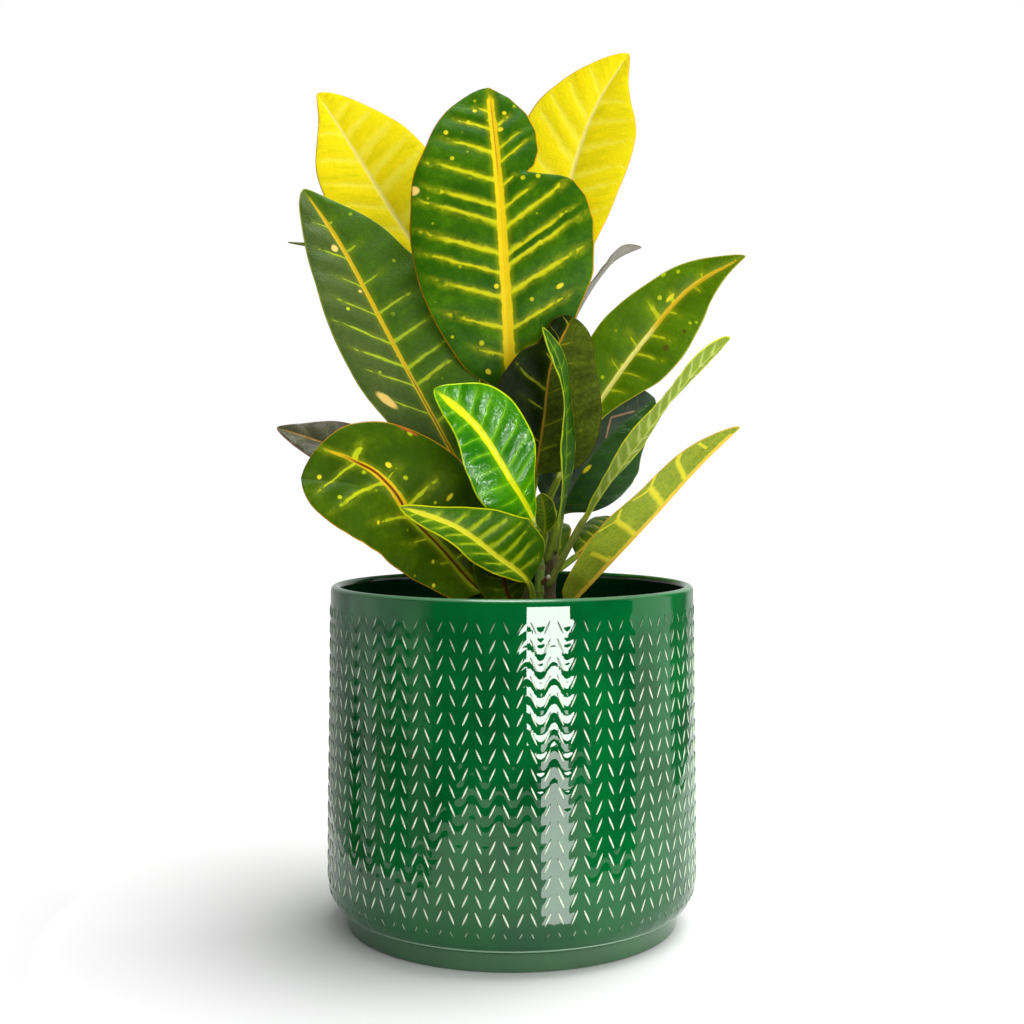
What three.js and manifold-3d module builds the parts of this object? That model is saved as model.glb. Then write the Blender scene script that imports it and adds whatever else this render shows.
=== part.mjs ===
// Potted croton in a glazed cachepot. Millimetres, +Z up, origin at the centre of the pot's underside.
import * as THREE from "three";
import { mergeVertices } from "three/addons/utils/BufferGeometryUtils.js";
import Module from "manifold-3d";

const wasm = await Module();
wasm.setup();

// Clearance kept between pieces that touch on the real plant
const GAP = 0.4;

// Cachepot
const POT_HEIGHT = 130;
const POT_RIM_R = 69.6;
const POT_BODY_R = 70.8;
const POT_WALL = 4;
const POT_LIP_R = 2;
const POT_FLOOR = 8;
const FOOT_R = 63.8;
const FOOT_TOP_R = 64.4;
const FOOT_HEIGHT = 7;
const STEP_R = 66.3;
const STEP_Z = 8;
const CORNER_TOP = 21;
const CORNER_DROP = 12.4;
const POT_SIDES = 72;

// Nursery pot that stands in the cachepot
const NURSERY_BASE = POT_FLOOR + GAP;
const NURSERY_TOP = 114;
const NURSERY_TOP_R = 59;
const NURSERY_FOOT_R = 43;
const NURSERY_WALL = 1.2;
const NURSERY_TUCK = 0.6;
const NURSERY_RIM = 2.2;
const NURSERY_RIM_HEIGHT = 8;
const NURSERY_SIDES = 48;

// Potting soil
const SOIL_TOP = 106;
const SOIL_CROWN = 2.5;
const SOIL_MARGIN = 0.6;
const HOLE_LENGTH = 60;
const HOLE_SIDES = 16;

// Stems
const STEM_FOOT = 84;
const STEM_SIDES = 10;
const STEM_STATIONS = 14;

// Leaves
const BLADE = 0.7;
const MIDRIB = 0.5;
const EDGE_WIDTH = 0.5;
const PETIOLE_R = 1.4;
const PETIOLE_SPREAD = 0.86;
const BLADE_STATIONS = 12;
const PETIOLE_STATIONS = 3;
const CURVE_STEPS = 400;
const COLUMNS = [-1, -0.5, 0, 0.5, 1];

const BLACK = new THREE.Color(0.03, 0.03, 0.03);
const GLAZE = new THREE.Color(0.02, 0.22, 0.07);
const EARTH = new THREE.Color(0.06, 0.035, 0.02);
const BARK = new THREE.Color(0.2, 0.3, 0.08);
const DARK_GREEN = new THREE.Color(0.03, 0.12, 0.03);
const GREEN = new THREE.Color(0.06, 0.3, 0.03);
const OLIVE = new THREE.Color(0.22, 0.3, 0.05);
const YELLOW = new THREE.Color(0.9, 0.75, 0.02);

const part = new THREE.Group();

function add(name, geometry, color, roughness) {
  const material = new THREE.MeshStandardMaterial({ color, roughness, metalness: 0 });
  const mesh = new THREE.Mesh(geometry, material);
  mesh.name = name;
  part.add(mesh);
}

// A closed profile of [radius, height] points turned about the Z axis
function turned(profile, sides) {
  const points = profile.map(([r, z]) => new THREE.Vector2(r, z));
  return new THREE.LatheGeometry(points, sides).rotateX(Math.PI / 2);
}

// Points on an arc of a profile, from angle a to angle b in degrees
function arc(cx, cz, rx, rz, a, b, steps) {
  const points = [];
  for (let i = 0; i <= steps; i++) {
    const angle = THREE.MathUtils.degToRad(a + ((b - a) * i) / steps);
    points.push([cx + rx * Math.cos(angle), cz + rz * Math.sin(angle)]);
  }
  return points;
}

function solidOf(geometry) {
  const bare = geometry.clone();
  bare.deleteAttribute("normal");
  bare.deleteAttribute("uv");
  const merged = mergeVertices(bare, 1e-4);
  return new wasm.Manifold(new wasm.Mesh({
    numProp: 3,
    vertProperties: new Float32Array(merged.attributes.position.array),
    triVerts: new Uint32Array(merged.index.array),
  }));
}

function geometryOf(solid) {
  const mesh = solid.getMesh();
  const geometry = new THREE.BufferGeometry();
  geometry.setAttribute("position", new THREE.BufferAttribute(mesh.vertProperties, 3));
  geometry.setIndex(new THREE.BufferAttribute(mesh.triVerts, 1));
  geometry.computeVertexNormals();
  return geometry;
}

// Rings of equal counts of points joined into one closed skin with flat ends
function skin(rings) {
  const count = rings[0].length;
  const positions = rings.flat().flatMap((p) => [p.x, p.y, p.z]);
  const index = [];
  for (let r = 0; r + 1 < rings.length; r++) {
    for (let i = 0; i < count; i++) {
      const j = (i + 1) % count;
      const a = r * count + i;
      const b = r * count + j;
      const c = a + count;
      const d = b + count;
      // the under face takes the same diagonal as the upper face above it
      if (i < count / 2) index.push(a, b, c, b, d, c);
      else index.push(a, b, d, a, d, c);
    }
  }
  const last = (rings.length - 1) * count;
  for (let i = 0; i < count / 2 - 1; i++) {
    const j = count - 1 - i;
    index.push(i, j, i + 1, i + 1, j, j - 1);
    index.push(last + i, last + i + 1, last + j, last + i + 1, last + j - 1, last + j);
  }
  const geometry = new THREE.BufferGeometry();
  geometry.setAttribute("position", new THREE.Float32BufferAttribute(positions, 3));
  geometry.setIndex(index);
  geometry.computeVertexNormals();
  return geometry;
}

function cachepot() {
  const lip = POT_HEIGHT - POT_LIP_R;
  const inner = POT_RIM_R - POT_WALL;
  const profile = [
    [0, 0],
    [FOOT_R - 1, 0],
    [FOOT_R, 1],
    [FOOT_TOP_R, FOOT_HEIGHT],
    [STEP_R, STEP_Z],
    ...arc(STEP_R, CORNER_TOP, POT_BODY_R - STEP_R, CORNER_DROP, -75, 0, 5),
    [POT_BODY_R, 60],
    [POT_RIM_R + 0.3, 105],
    ...arc(POT_RIM_R - POT_LIP_R, lip, POT_LIP_R, POT_LIP_R, 0, 180, 6),
    [inner, POT_FLOOR + 10],
    ...arc(inner - 8, POT_FLOOR + 8, 8, 8, -20, -90, 3),
    [0, POT_FLOOR],
  ];
  add("pot", turned(profile, POT_SIDES), GLAZE, 0.12);
}

function nurseryPot() {
  const inner = NURSERY_TOP_R - NURSERY_WALL;
  const outline = [
    [0, NURSERY_BASE],
    [NURSERY_FOOT_R, NURSERY_BASE],
    [NURSERY_TOP_R - NURSERY_TUCK, NURSERY_TOP - NURSERY_RIM_HEIGHT],
    [NURSERY_TOP_R + NURSERY_RIM, NURSERY_TOP - NURSERY_RIM_HEIGHT],
    [NURSERY_TOP_R + NURSERY_RIM, NURSERY_TOP],
    [inner, NURSERY_TOP],
    [NURSERY_FOOT_R - NURSERY_WALL, NURSERY_BASE + NURSERY_WALL],
    [0, NURSERY_BASE + NURSERY_WALL],
  ];
  add("nursery_pot", turned(outline, NURSERY_SIDES), BLACK, 0.6);
}

// Each stem is [x, y, z, radius] from its foot in the soil to its tip
const STEMS = {
  stem_main: [
    [3, 8, STEM_FOOT, 4.2],
    [3, 8, 112, 4],
    [4, 7, 146, 3.7],
    [3, 8, 175, 3.4],
    [1, 9, 200, 3],
    [1, 9, 214, 2],
  ],
  stem_front: [
    [10, -16, STEM_FOOT, 2],
    [10, -16, 112, 2],
    [10, -15.5, 126, 1.8],
    [10.5, -15, 136, 1.7],
    [9, -13, 152, 1.3],
  ],
  stem_back: [
    [14, 32, STEM_FOOT, 3.2],
    [14, 32, 112, 3.1],
    [16, 33, 140, 2.9],
    [18, 36, 168, 2.6],
    [18, 37, 186, 1.8],
  ],
};

function stemAt(name, z) {
  const rows = STEMS[name];
  let i = 0;
  while (i < rows.length - 2 && rows[i + 1][2] < z) i++;
  const k = THREE.MathUtils.clamp((z - rows[i][2]) / (rows[i + 1][2] - rows[i][2]), 0, 1);
  return rows[i].map((v, n) => v + (rows[i + 1][n] - v) * k);
}

function stem(name) {
  const rows = STEMS[name];
  const foot = rows[0][2];
  const top = rows[rows.length - 1][2];
  const rings = [];
  for (let s = 0; s <= STEM_STATIONS; s++) {
    const [x, y, z, r] = stemAt(name, foot + ((top - foot) * s) / STEM_STATIONS);
    const ring = [];
    for (let i = 0; i < STEM_SIDES; i++) {
      const a = (2 * Math.PI * (i + 0.5)) / STEM_SIDES;
      ring.push(new THREE.Vector3(x + r * Math.cos(a), y + r * Math.sin(a), z));
    }
    rings.push(ring);
  }
  add(name, skin(rings), BARK, 0.6);
}

function soil() {
  const slope = (NURSERY_TOP_R - NURSERY_FOOT_R) / (NURSERY_TOP - NURSERY_BASE);
  const inside = NURSERY_WALL + GAP + SOIL_MARGIN / 3;
  const base = NURSERY_BASE + NURSERY_WALL + GAP;
  const outline = [
    [0, base],
    [NURSERY_FOOT_R - inside, base],
    [NURSERY_FOOT_R + slope * (SOIL_TOP - NURSERY_BASE) - inside - SOIL_MARGIN, SOIL_TOP],
    [NURSERY_FOOT_R, SOIL_TOP + SOIL_CROWN * 0.7],
    [20, SOIL_TOP + SOIL_CROWN],
    [0, SOIL_TOP + SOIL_CROWN],
  ];
  let body = solidOf(turned(outline, NURSERY_SIDES));
  for (const name of Object.keys(STEMS)) {
    const [x, y, z, r] = STEMS[name][0];
    const hole = new THREE.CylinderGeometry(r + GAP, r + GAP, HOLE_LENGTH, HOLE_SIDES);
    hole.rotateX(Math.PI / 2).translate(x, y, z - GAP + HOLE_LENGTH / 2);
    body = body.subtract(solidOf(hole));
  }
  add("soil", geometryOf(body), EARTH, 0.95);
}

// Half-width of a blade at t. A plain list's entries stand closer together near both ends of the blade;
// a list of [t, width] pairs is read along straight lines.
function between(list, t) {
  if (Array.isArray(list[1])) {
    const n = Math.max(1, list.findIndex((p) => p[0] >= t));
    const [t0, w0] = list[n - 1];
    const [t1, w1] = list[n];
    return w0 + ((w1 - w0) * (t - t0)) / (t1 - t0);
  }
  const s = (Math.acos(1 - 2 * THREE.MathUtils.clamp(t, 0, 1)) / Math.PI) * (list.length - 1);
  const i = Math.min(Math.floor(s), list.length - 2);
  const k = s - i;
  const last = list.length - 1;
  const [a, b, c, d] = [i - 1, i, i + 1, i + 2].map((n) => list[THREE.MathUtils.clamp(n, 0, last)]);
  return b + 0.5 * k * (c - a + k * (2 * a - 5 * b + 4 * c - d + k * (3 * (b - c) + d - a)));
}

// Point across one half of a blade, v from midrib to edge, that stands up by fold and bends by curl
function across(width, v, fold, curl) {
  const f = THREE.MathUtils.degToRad(fold);
  const c = THREE.MathUtils.degToRad(curl);
  if (Math.abs(c) < 0.01) return [width * v * Math.cos(f), width * v * Math.sin(f)];
  const bend = width / c;
  return [bend * (Math.sin(f + c * v) - Math.sin(f)), bend * (Math.cos(f) - Math.cos(f + c * v))];
}

// Curve of a leaf's midrib from the stem through its points, and the place on it where the blade begins
function spine(on, from, points) {
  const [sx, sy, sz, sr] = stemAt(on, from);
  const knots = points.map((p) => new THREE.Vector3(...p));
  const centre = new THREE.Vector3(sx, sy, sz);
  const out = knots[0].clone().sub(centre);
  const rise = Math.abs(out.z) / out.length();
  const reach = sr + GAP + PETIOLE_R * rise;
  const root = centre.addScaledVector(out.setZ(0).normalize(), reach);
  const curve = new THREE.CatmullRomCurve3([root, ...knots], false, "centripetal");
  const lengths = curve.getLengths(CURVE_STEPS);
  const start = lengths[Math.round(CURVE_STEPS / points.length)] / lengths[CURVE_STEPS];
  return [curve, start];
}

// One leaf with its petiole. points runs from the blade's foot to its tip.
function leaf(name, spec) {
  const { on, from, points, face, left, right, color } = spec;
  const { fold = [12, 12], curl = [-10, -10], wave = [1, 2, 0], extra = [] } = spec;
  const [curve, start] = spine(on, from, points);
  const faces = (Array.isArray(face[0]) ? face : [face, face]).map((f) => new THREE.Vector3(...f));
  const halves = [left, right].map((list) => (
    Array.isArray(list[0]) ? [[0, 0], ...list, [1, 0]] : [0, ...list, 0]
  ));
  const rings = [];
  const ringAt = (u, t) => {
    const at = curve.getPointAt(u);
    const tangent = curve.getTangentAt(u);
    const normal = faces[0].clone().lerp(faces[1], Math.max(t, 0));
    normal.addScaledVector(tangent, -normal.dot(tangent)).normalize();
    const side = tangent.clone().cross(normal);
    const place = (x, y) => at.clone().addScaledVector(side, x).addScaledVector(normal, y);
    const blend = THREE.MathUtils.smoothstep(t, -0.02, 0.09);
    const mix = (a, b) => a + (b - a) * blend;
    const upper = [];
    const under = [];
    for (const c of COLUMNS) {
      const v = Math.abs(c);
      const i = c < 0 ? 0 : 1;
      const width = Math.max(between(halves[i], t), EDGE_WIDTH);
      const [x, y] = across(width, v, fold[i], curl[i]);
      const turns = wave[1] * t + wave[2] + 0.5 * i;
      const swell = wave[0] * v * v * Math.sin(2 * Math.PI * turns) * Math.sin(Math.PI * Math.max(t, 0));
      const lean = THREE.MathUtils.degToRad(fold[i] + curl[i] * v) * Math.sign(c);
      const half = c === 0 ? BLADE / 2 + MIDRIB * (1 - t) : BLADE / 2;
      const nx = -Math.sin(lean) * half;
      const ny = Math.cos(lean) * half;
      const px = x * Math.sign(c);
      const py = y + swell;
      const turn = (Math.PI / 2) * (1 - PETIOLE_SPREAD * c);
      const rx = PETIOLE_R * Math.cos(turn);
      const ry = PETIOLE_R * Math.sin(turn);
      upper.push(place(mix(rx, px + nx), mix(ry, py + ny)));
      under.unshift(place(mix(rx, px - nx), mix(-ry, py - ny)));
    }
    // upper face from left to right, then the under face back
    rings.push([...upper, ...under]);
  };
  for (let i = 0; i < PETIOLE_STATIONS; i++) {
    const share = i / PETIOLE_STATIONS;
    ringAt(start * share, share - 1);
  }
  const stations = [...extra];
  for (let i = 0; i <= BLADE_STATIONS; i++) {
    stations.push((1 - Math.cos((Math.PI * i) / BLADE_STATIONS)) / 2);
  }
  stations.sort((a, b) => a - b);
  for (const t of stations) ringAt(start + (1 - start) * t, t);
  add(name, skin(rings), color, 0.35);
}

cachepot();
nurseryPot();
soil();
for (const name of Object.keys(STEMS)) stem(name);

// Crown leaf that faces the front, with the step in its right edge
leaf("leaf_crown_front", {
  on: "stem_main", from: 198, color: DARK_GREEN, face: [0.05, -1, 0.15],
  points: [[0, -1, 203], [-2, -6, 236], [-5, -4, 282], [-9, 12, 323]],
  left: [10, 18, 26, 32.5, 35, 33, 26.5, 19, 8.5],
  right: [
    [0.03, 10], [0.1, 17], [0.18, 24], [0.283, 30], [0.352, 33], [0.443, 35], [0.515, 35], [0.592, 32.6],
    [0.65, 28.5], [0.675, 22], [0.684, 12.5], [0.703, 14.7], [0.757, 16.7], [0.826, 16.7], [0.896, 13.3],
    [0.956, 7.5],
  ],
  extra: [0.65, 0.684],
  fold: [4, 4], curl: [-8, -8], wave: [1.5, 1.5, 0],
});

// Yellow leaf at the back left of the crown
leaf("leaf_crown_left", {
  on: "stem_main", from: 208, color: YELLOW, face: [0.2, -1, 0.2],
  points: [[-8, 22, 220], [-25, 36, 244], [-48, 48, 278], [-66, 54, 307], [-82, 56, 332]],
  left: [6, 15, 22, 21, 5.5],
  right: [8, 20, 30, 25, 11],
});

// Yellow leaf at the back right of the crown
leaf("leaf_crown_right", {
  on: "stem_main", from: 206, color: YELLOW, face: [-0.2, -1, 0.2],
  points: [[9, 24, 222], [17, 38, 255], [26, 48, 300], [36, 52, 327], [49, 54, 348]],
  left: [8, 19, 27, 24, 9.5],
  right: [6, 11, 20.5, 21.5, 6],
});

// Dark leaf at the left
leaf("leaf_left_upper", {
  on: "stem_main", from: 146, color: DARK_GREEN, face: [0.3, -1, 0.2],
  points: [[-16, -4, 168], [-28, -8, 190], [-45, -4, 221], [-66, 6, 260], [-82, 14, 284]],
  left: [8, 17.5, 21, 16, 7],
  right: [9, 23.5, 30.5, 20, 6.5],
});

// Bright young leaf at the front
leaf("leaf_front_young", {
  on: "stem_front", from: 140, color: GREEN, face: [[0.2, -1, 0.3], [-0.4, -1, 0.5]],
  points: [[8, -20, 154], [-1, -30, 171], [-12.5, -35, 189], [-28, -38, 203]],
  left: [8, 13.8, 13, 8, 3.5],
  right: [3, 8.5, 15.5, 15, 6],
});

// Broad low leaf at the left
leaf("leaf_left_low", {
  on: "stem_main", from: 118, color: OLIVE, face: [0.1, -1, 0.5],
  points: [[-12, -14, 128], [-30, -26, 149], [-50, -38, 167], [-75, -44, 171]],
  left: [9, 16, 20, 22, 13],
  right: [13, 25, 29, 25, 13],
});

// Small low leaf at the front
leaf("leaf_front_low", {
  on: "stem_front", from: 122, color: GREEN, face: [0, -0.9, 0.4],
  points: [[6, -22, 132], [-5, -33, 142], [-20, -42, 153.5], [-40, -46, 161]],
  left: [3, 6, 8, 6, 3],
  right: [14, 18, 13, 5, 2],
  fold: [12, 22],
});

// Leaf at the far left of the back, seen past the low left leaf
leaf("leaf_left_far", {
  on: "stem_main", from: 148, color: OLIVE, face: [0, -0.7, 0.7],
  points: [[-12, 28, 152], [-39, 46, 166], [-70, 60, 181], [-102, 70, 192]],
  left: [4, 10, 15, 12, 5],
  right: [4, 11, 17, 14, 5],
});

// Level leaf at the back left of the crown
leaf("leaf_left_back", {
  on: "stem_main", from: 195, color: DARK_GREEN, face: [0, -0.15, 1],
  points: [[-14, 36, 214], [-39, 62, 246], [-72, 82, 268], [-100, 90, 275]],
  left: [4, 10, 13, 10, 4],
  right: [4, 10, 13, 10, 4],
});

// Leaf that reaches out at the upper right
leaf("leaf_right_upper", {
  on: "stem_main", from: 150, color: GREEN, face: [-0.1, -1, 0.2],
  points: [[18, 8, 170], [33, 12, 198], [54, 14, 227], [70, 14, 245], [91, 8, 257]],
  left: [6, 13, 18, 12, 4.5],
  right: [2, 4.5, 16, 13, 3],
});

// Dark leaf at the centre, folded along its midrib
leaf("leaf_centre_dark", {
  on: "stem_main", from: 156, color: DARK_GREEN, face: [0, -1, 0],
  points: [[9, -1, 172], [12, -5, 192], [15, -9, 214], [23, -7, 232]],
  left: [
    [0.03, 8], [0.15, 15], [0.3, 20], [0.45, 21], [0.58, 19], [0.7, 13], [0.76, 8], [0.85, 7.5],
    [0.93, 6.5], [0.985, 3.5],
  ],
  right: [14, 22, 22, 17, 9.5],
  fold: [25, 25],
});

// Narrow upright leaf at the centre, seen on its edge
leaf("leaf_centre_narrow", {
  on: "stem_front", from: 139, color: DARK_GREEN, face: [1, -0.35, 0],
  points: [[17, -20, 153], [20, -20, 180], [18, -22, 211], [11, -28, 226]],
  left: [3, 6, 7, 7, 4],
  right: [3, 6, 7, 6, 3],
});

// Narrow leaf at the right, seen from below
leaf("leaf_right_middle", {
  on: "stem_front", from: 130, color: OLIVE, face: [-0.7, 0.35, 0.6],
  points: [[27, -22, 156], [48, -24, 186], [69, -22, 212], [81, -20, 223]],
  left: [4, 8, 9, 8, 5.5],
  right: [4, 8, 9, 8, 5.5],
});

// Low leaf at the right, folded along its midrib and seen from below
leaf("leaf_right_low", {
  on: "stem_front", from: 114, color: OLIVE, face: [-0.5, 0.75, 0.4],
  points: [[20, -21, 122], [49, -38, 155], [67, -46, 176], [80, -50, 189]],
  left: [4, 10, 14, 11, 4],
  right: [9, 16, 18, 14, 6],
  fold: [60, 0],
});

// Dark leaf at the right of the back
leaf("leaf_right_back", {
  on: "stem_back", from: 140, color: DARK_GREEN, face: [0, -1, 0.1],
  points: [[20, 24, 156], [26, 22, 170], [38, 26, 186], [58, 32, 203]],
  left: [10, 20, 24, 20, 10],
  right: [10, 18, 19, 12, 5],
});

// Narrow leaf at the back right of the crown, seen on its edge
leaf("leaf_crown_back", {
  on: "stem_main", from: 196, color: DARK_GREEN, face: [-0.6, 0.1, 0.6],
  points: [[17, 30, 216], [27, 50, 239], [38, 66, 257], [48, 76, 268], [57, 82, 271.5]],
  left: [4, 8, 11, 8, 3],
  right: [4, 8, 11, 8, 3],
});

// Smallest leaf, at the top of the front shoot
leaf("leaf_front_bud", {
  on: "stem_front", from: 142, color: GREEN, face: [0, -1, 0.4],
  points: [[12.5, -8.5, 150], [12.5, -9.5, 156], [11, -11, 165]],
  left: [2, 4, 5, 4, 2],
  right: [2, 4, 4.5, 4, 2],
});

// Low leaf between the two low front leaves and the main stem
leaf("leaf_low_inner", {
  on: "stem_main", from: 112, color: OLIVE, face: [0, -1, 0.5],
  points: [[0, -8, 121], [-3, -16, 132], [-5, -22, 146], [-8, -22, 160]],
  left: [5, 9, 11, 8, 4],
  right: [5, 9, 11, 8, 4],
});

// Leaves of the rear half
leaf("leaf_rear_top", {
  on: "stem_main", from: 189, color: DARK_GREEN, face: [0, -0.5, 1],
  points: [[2, 28, 207], [8, 50, 246], [10, 78, 260], [12, 102, 256]],
  left: [8, 16, 20, 17, 8],
  right: [8, 16, 20, 17, 8],
});
leaf("leaf_rear_left", {
  on: "stem_main", from: 185, color: DARK_GREEN, face: [0.3, -0.4, 1],
  points: [[-8, 26, 198], [-22, 50, 220], [-34, 74, 234], [-42, 95, 236]],
  left: [8, 16, 20, 17, 8],
  right: [8, 16, 20, 17, 8],
});
leaf("leaf_rear_right", {
  on: "stem_back", from: 180, color: DARK_GREEN, face: [-0.3, -0.4, 1],
  points: [[24, 50, 194], [36, 72, 212], [46, 92, 220], [54, 108, 220]],
  left: [7, 14, 18, 15, 7],
  right: [7, 14, 18, 15, 7],
});
leaf("leaf_rear_low_right", {
  on: "stem_back", from: 132, color: OLIVE, face: [-0.3, -0.3, 1],
  points: [[27, 44, 138], [38, 58, 148], [49, 76, 152], [58, 92, 150]],
  left: [5, 10, 12, 10, 5],
  right: [5, 10, 12, 10, 5],
});
leaf("leaf_rear_low_left", {
  on: "stem_back", from: 142, color: OLIVE, face: [0.2, -0.4, 1],
  points: [[2, 44, 150], [-22, 58, 160], [-42, 70, 168], [-60, 78, 170]],
  left: [7, 14, 18, 15, 7],
  right: [7, 14, 18, 15, 7],
});
leaf("leaf_rear_mid", {
  on: "stem_main", from: 170, color: DARK_GREEN, face: [0, -0.4, 1],
  points: [[0, 26, 182], [-4, 48, 196], [-8, 74, 204], [-12, 96, 200]],
  left: [6, 13, 16, 13, 6],
  right: [6, 13, 16, 13, 6],
});
leaf("leaf_rear_side_left", {
  on: "stem_main", from: 130, color: OLIVE, face: [0.3, -0.3, 1],
  points: [[-14, 20, 140], [-36, 36, 150], [-58, 46, 150]],
  left: [5, 10, 13, 11, 5],
  right: [5, 10, 13, 11, 5],
});
leaf("leaf_rear_side_right", {
  on: "stem_back", from: 168, color: DARK_GREEN, face: [-0.2, -0.5, 1],
  points: [[28, 42, 176], [42, 50, 186], [54, 56, 188]],
  left: [5, 9, 12, 10, 5],
  right: [5, 9, 12, 10, 5],
});
leaf("leaf_crown_small", {
  on: "stem_main", from: 211, color: GREEN, face: [0, -1, 0.4],
  points: [[2, 17, 226], [3, 22, 242], [3, 30, 262]],
  left: [3, 6, 9, 8, 4],
  right: [3, 6, 9, 8, 4],
});
leaf("leaf_rear_low", {
  on: "stem_back", from: 124, color: OLIVE, face: [0, -0.3, 1],
  points: [[12, 48, 132], [10, 62, 142], [6, 82, 148], [2, 100, 145]],
  left: [7, 14, 18, 15, 7],
  right: [7, 14, 18, 15, 7],
});

export default part;
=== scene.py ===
"""Potted croton in a glazed knit cachepot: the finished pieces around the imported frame.

Lengths in the tables are millimetres; each finished mesh is scaled to metres at the end.
"""
import math

import bmesh
import bpy
from bpy.props import FloatProperty, FloatVectorProperty, IntProperty, PointerProperty
from mathutils import Matrix, Vector, noise


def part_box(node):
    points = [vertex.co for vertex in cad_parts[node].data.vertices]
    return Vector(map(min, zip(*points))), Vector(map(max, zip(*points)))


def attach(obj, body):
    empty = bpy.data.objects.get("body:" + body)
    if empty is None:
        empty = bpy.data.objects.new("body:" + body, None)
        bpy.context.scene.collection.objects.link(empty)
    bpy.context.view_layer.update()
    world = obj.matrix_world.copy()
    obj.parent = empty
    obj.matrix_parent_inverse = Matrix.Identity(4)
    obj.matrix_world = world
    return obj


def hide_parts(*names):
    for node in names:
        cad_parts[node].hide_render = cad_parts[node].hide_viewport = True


bl_info = {
    "name": "Potted Croton",
    "version": (1, 0, 0),
    "blender": (4, 5, 0),
    "location": "View3D > Sidebar > Croton",
    "description": "Builds the finished leaves, stems, soil and glazed pot of a potted croton",
    "category": "Add Mesh",
}

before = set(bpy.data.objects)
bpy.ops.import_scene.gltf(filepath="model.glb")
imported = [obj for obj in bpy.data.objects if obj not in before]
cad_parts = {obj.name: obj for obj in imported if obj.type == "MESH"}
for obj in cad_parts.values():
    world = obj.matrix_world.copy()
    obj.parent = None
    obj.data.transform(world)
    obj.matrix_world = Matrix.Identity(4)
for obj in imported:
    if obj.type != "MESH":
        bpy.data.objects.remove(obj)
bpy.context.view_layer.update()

MM = 0.001
POT_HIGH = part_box("pot")[1]
NURSERY_LOW, NURSERY_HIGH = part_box("nursery_pot")
SOIL_LOW, SOIL_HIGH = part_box("soil")


# Small tools

def srgb(red, green, blue):
    """Linear colour of an sRGB triple given from 0 to 255."""
    def linear(value):
        value /= 255
        return value / 12.92 if value <= 0.04045 else ((value + 0.055) / 1.055) ** 2.4
    return (linear(red), linear(green), linear(blue), 1.0)


def clamp(value, low=0.0, high=1.0):
    return max(low, min(high, value))


def smoothstep(value, low, high):
    k = clamp((value - low) / (high - low))
    return k * k * (3 - 2 * k)


def blend(a, b, k):
    return a + (b - a) * k


def along_rows(rows, z):
    """A row interpolated at height z in a list of [x, y, z, radius] rows."""
    i = 0
    while i < len(rows) - 2 and rows[i + 1][2] < z:
        i += 1
    k = clamp((z - rows[i][2]) / (rows[i + 1][2] - rows[i][2]))
    return [blend(a, b, k) for a, b in zip(rows[i], rows[i + 1])]


def finish_piece(bm, name, material, nodes):
    """Turns a bmesh in millimetres into a named piece that rides on the root body."""
    bmesh.ops.scale(bm, vec=(MM, MM, MM), verts=bm.verts)
    mesh = bpy.data.meshes.new(name)
    bm.to_mesh(mesh)
    bm.free()
    mesh.polygons.foreach_set("use_smooth", [True] * len(mesh.polygons))
    mesh.materials.append(material)
    piece = bpy.data.objects.new(name, mesh)
    bpy.context.scene.collection.objects.link(piece)
    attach(piece, "root")
    if nodes:
        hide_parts(*nodes)
    return piece


# Procedural materials

class Wire:
    """An output of a node that can be used in sums."""

    def __init__(self, recipe, socket):
        self.recipe = recipe
        self.socket = socket

    def __add__(self, other):
        return self.recipe.sum("ADD", self, other)

    def __radd__(self, other):
        return self.recipe.sum("ADD", other, self)

    def __sub__(self, other):
        return self.recipe.sum("SUBTRACT", self, other)

    def __rsub__(self, other):
        return self.recipe.sum("SUBTRACT", other, self)

    def __mul__(self, other):
        return self.recipe.sum("MULTIPLY", self, other)

    def __rmul__(self, other):
        return self.recipe.sum("MULTIPLY", other, self)

    def __truediv__(self, other):
        return self.recipe.sum("DIVIDE", self, other)

    def __abs__(self):
        return self.recipe.sum("ABSOLUTE", self)

    def rises(self, low, high):
        """0 below low, 1 above high, smooth between."""
        node = self.recipe.add("ShaderNodeMapRange", interpolation_type="SMOOTHSTEP")
        self.recipe.feed(node, {0: self, 1: low, 2: high, 3: 0.0, 4: 1.0})
        return Wire(self.recipe, node.outputs[0])

    def falls(self, low, high):
        return 1.0 - self.rises(low, high)

    def over(self, limit):
        return self.recipe.sum("GREATER_THAN", self, limit)


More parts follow.
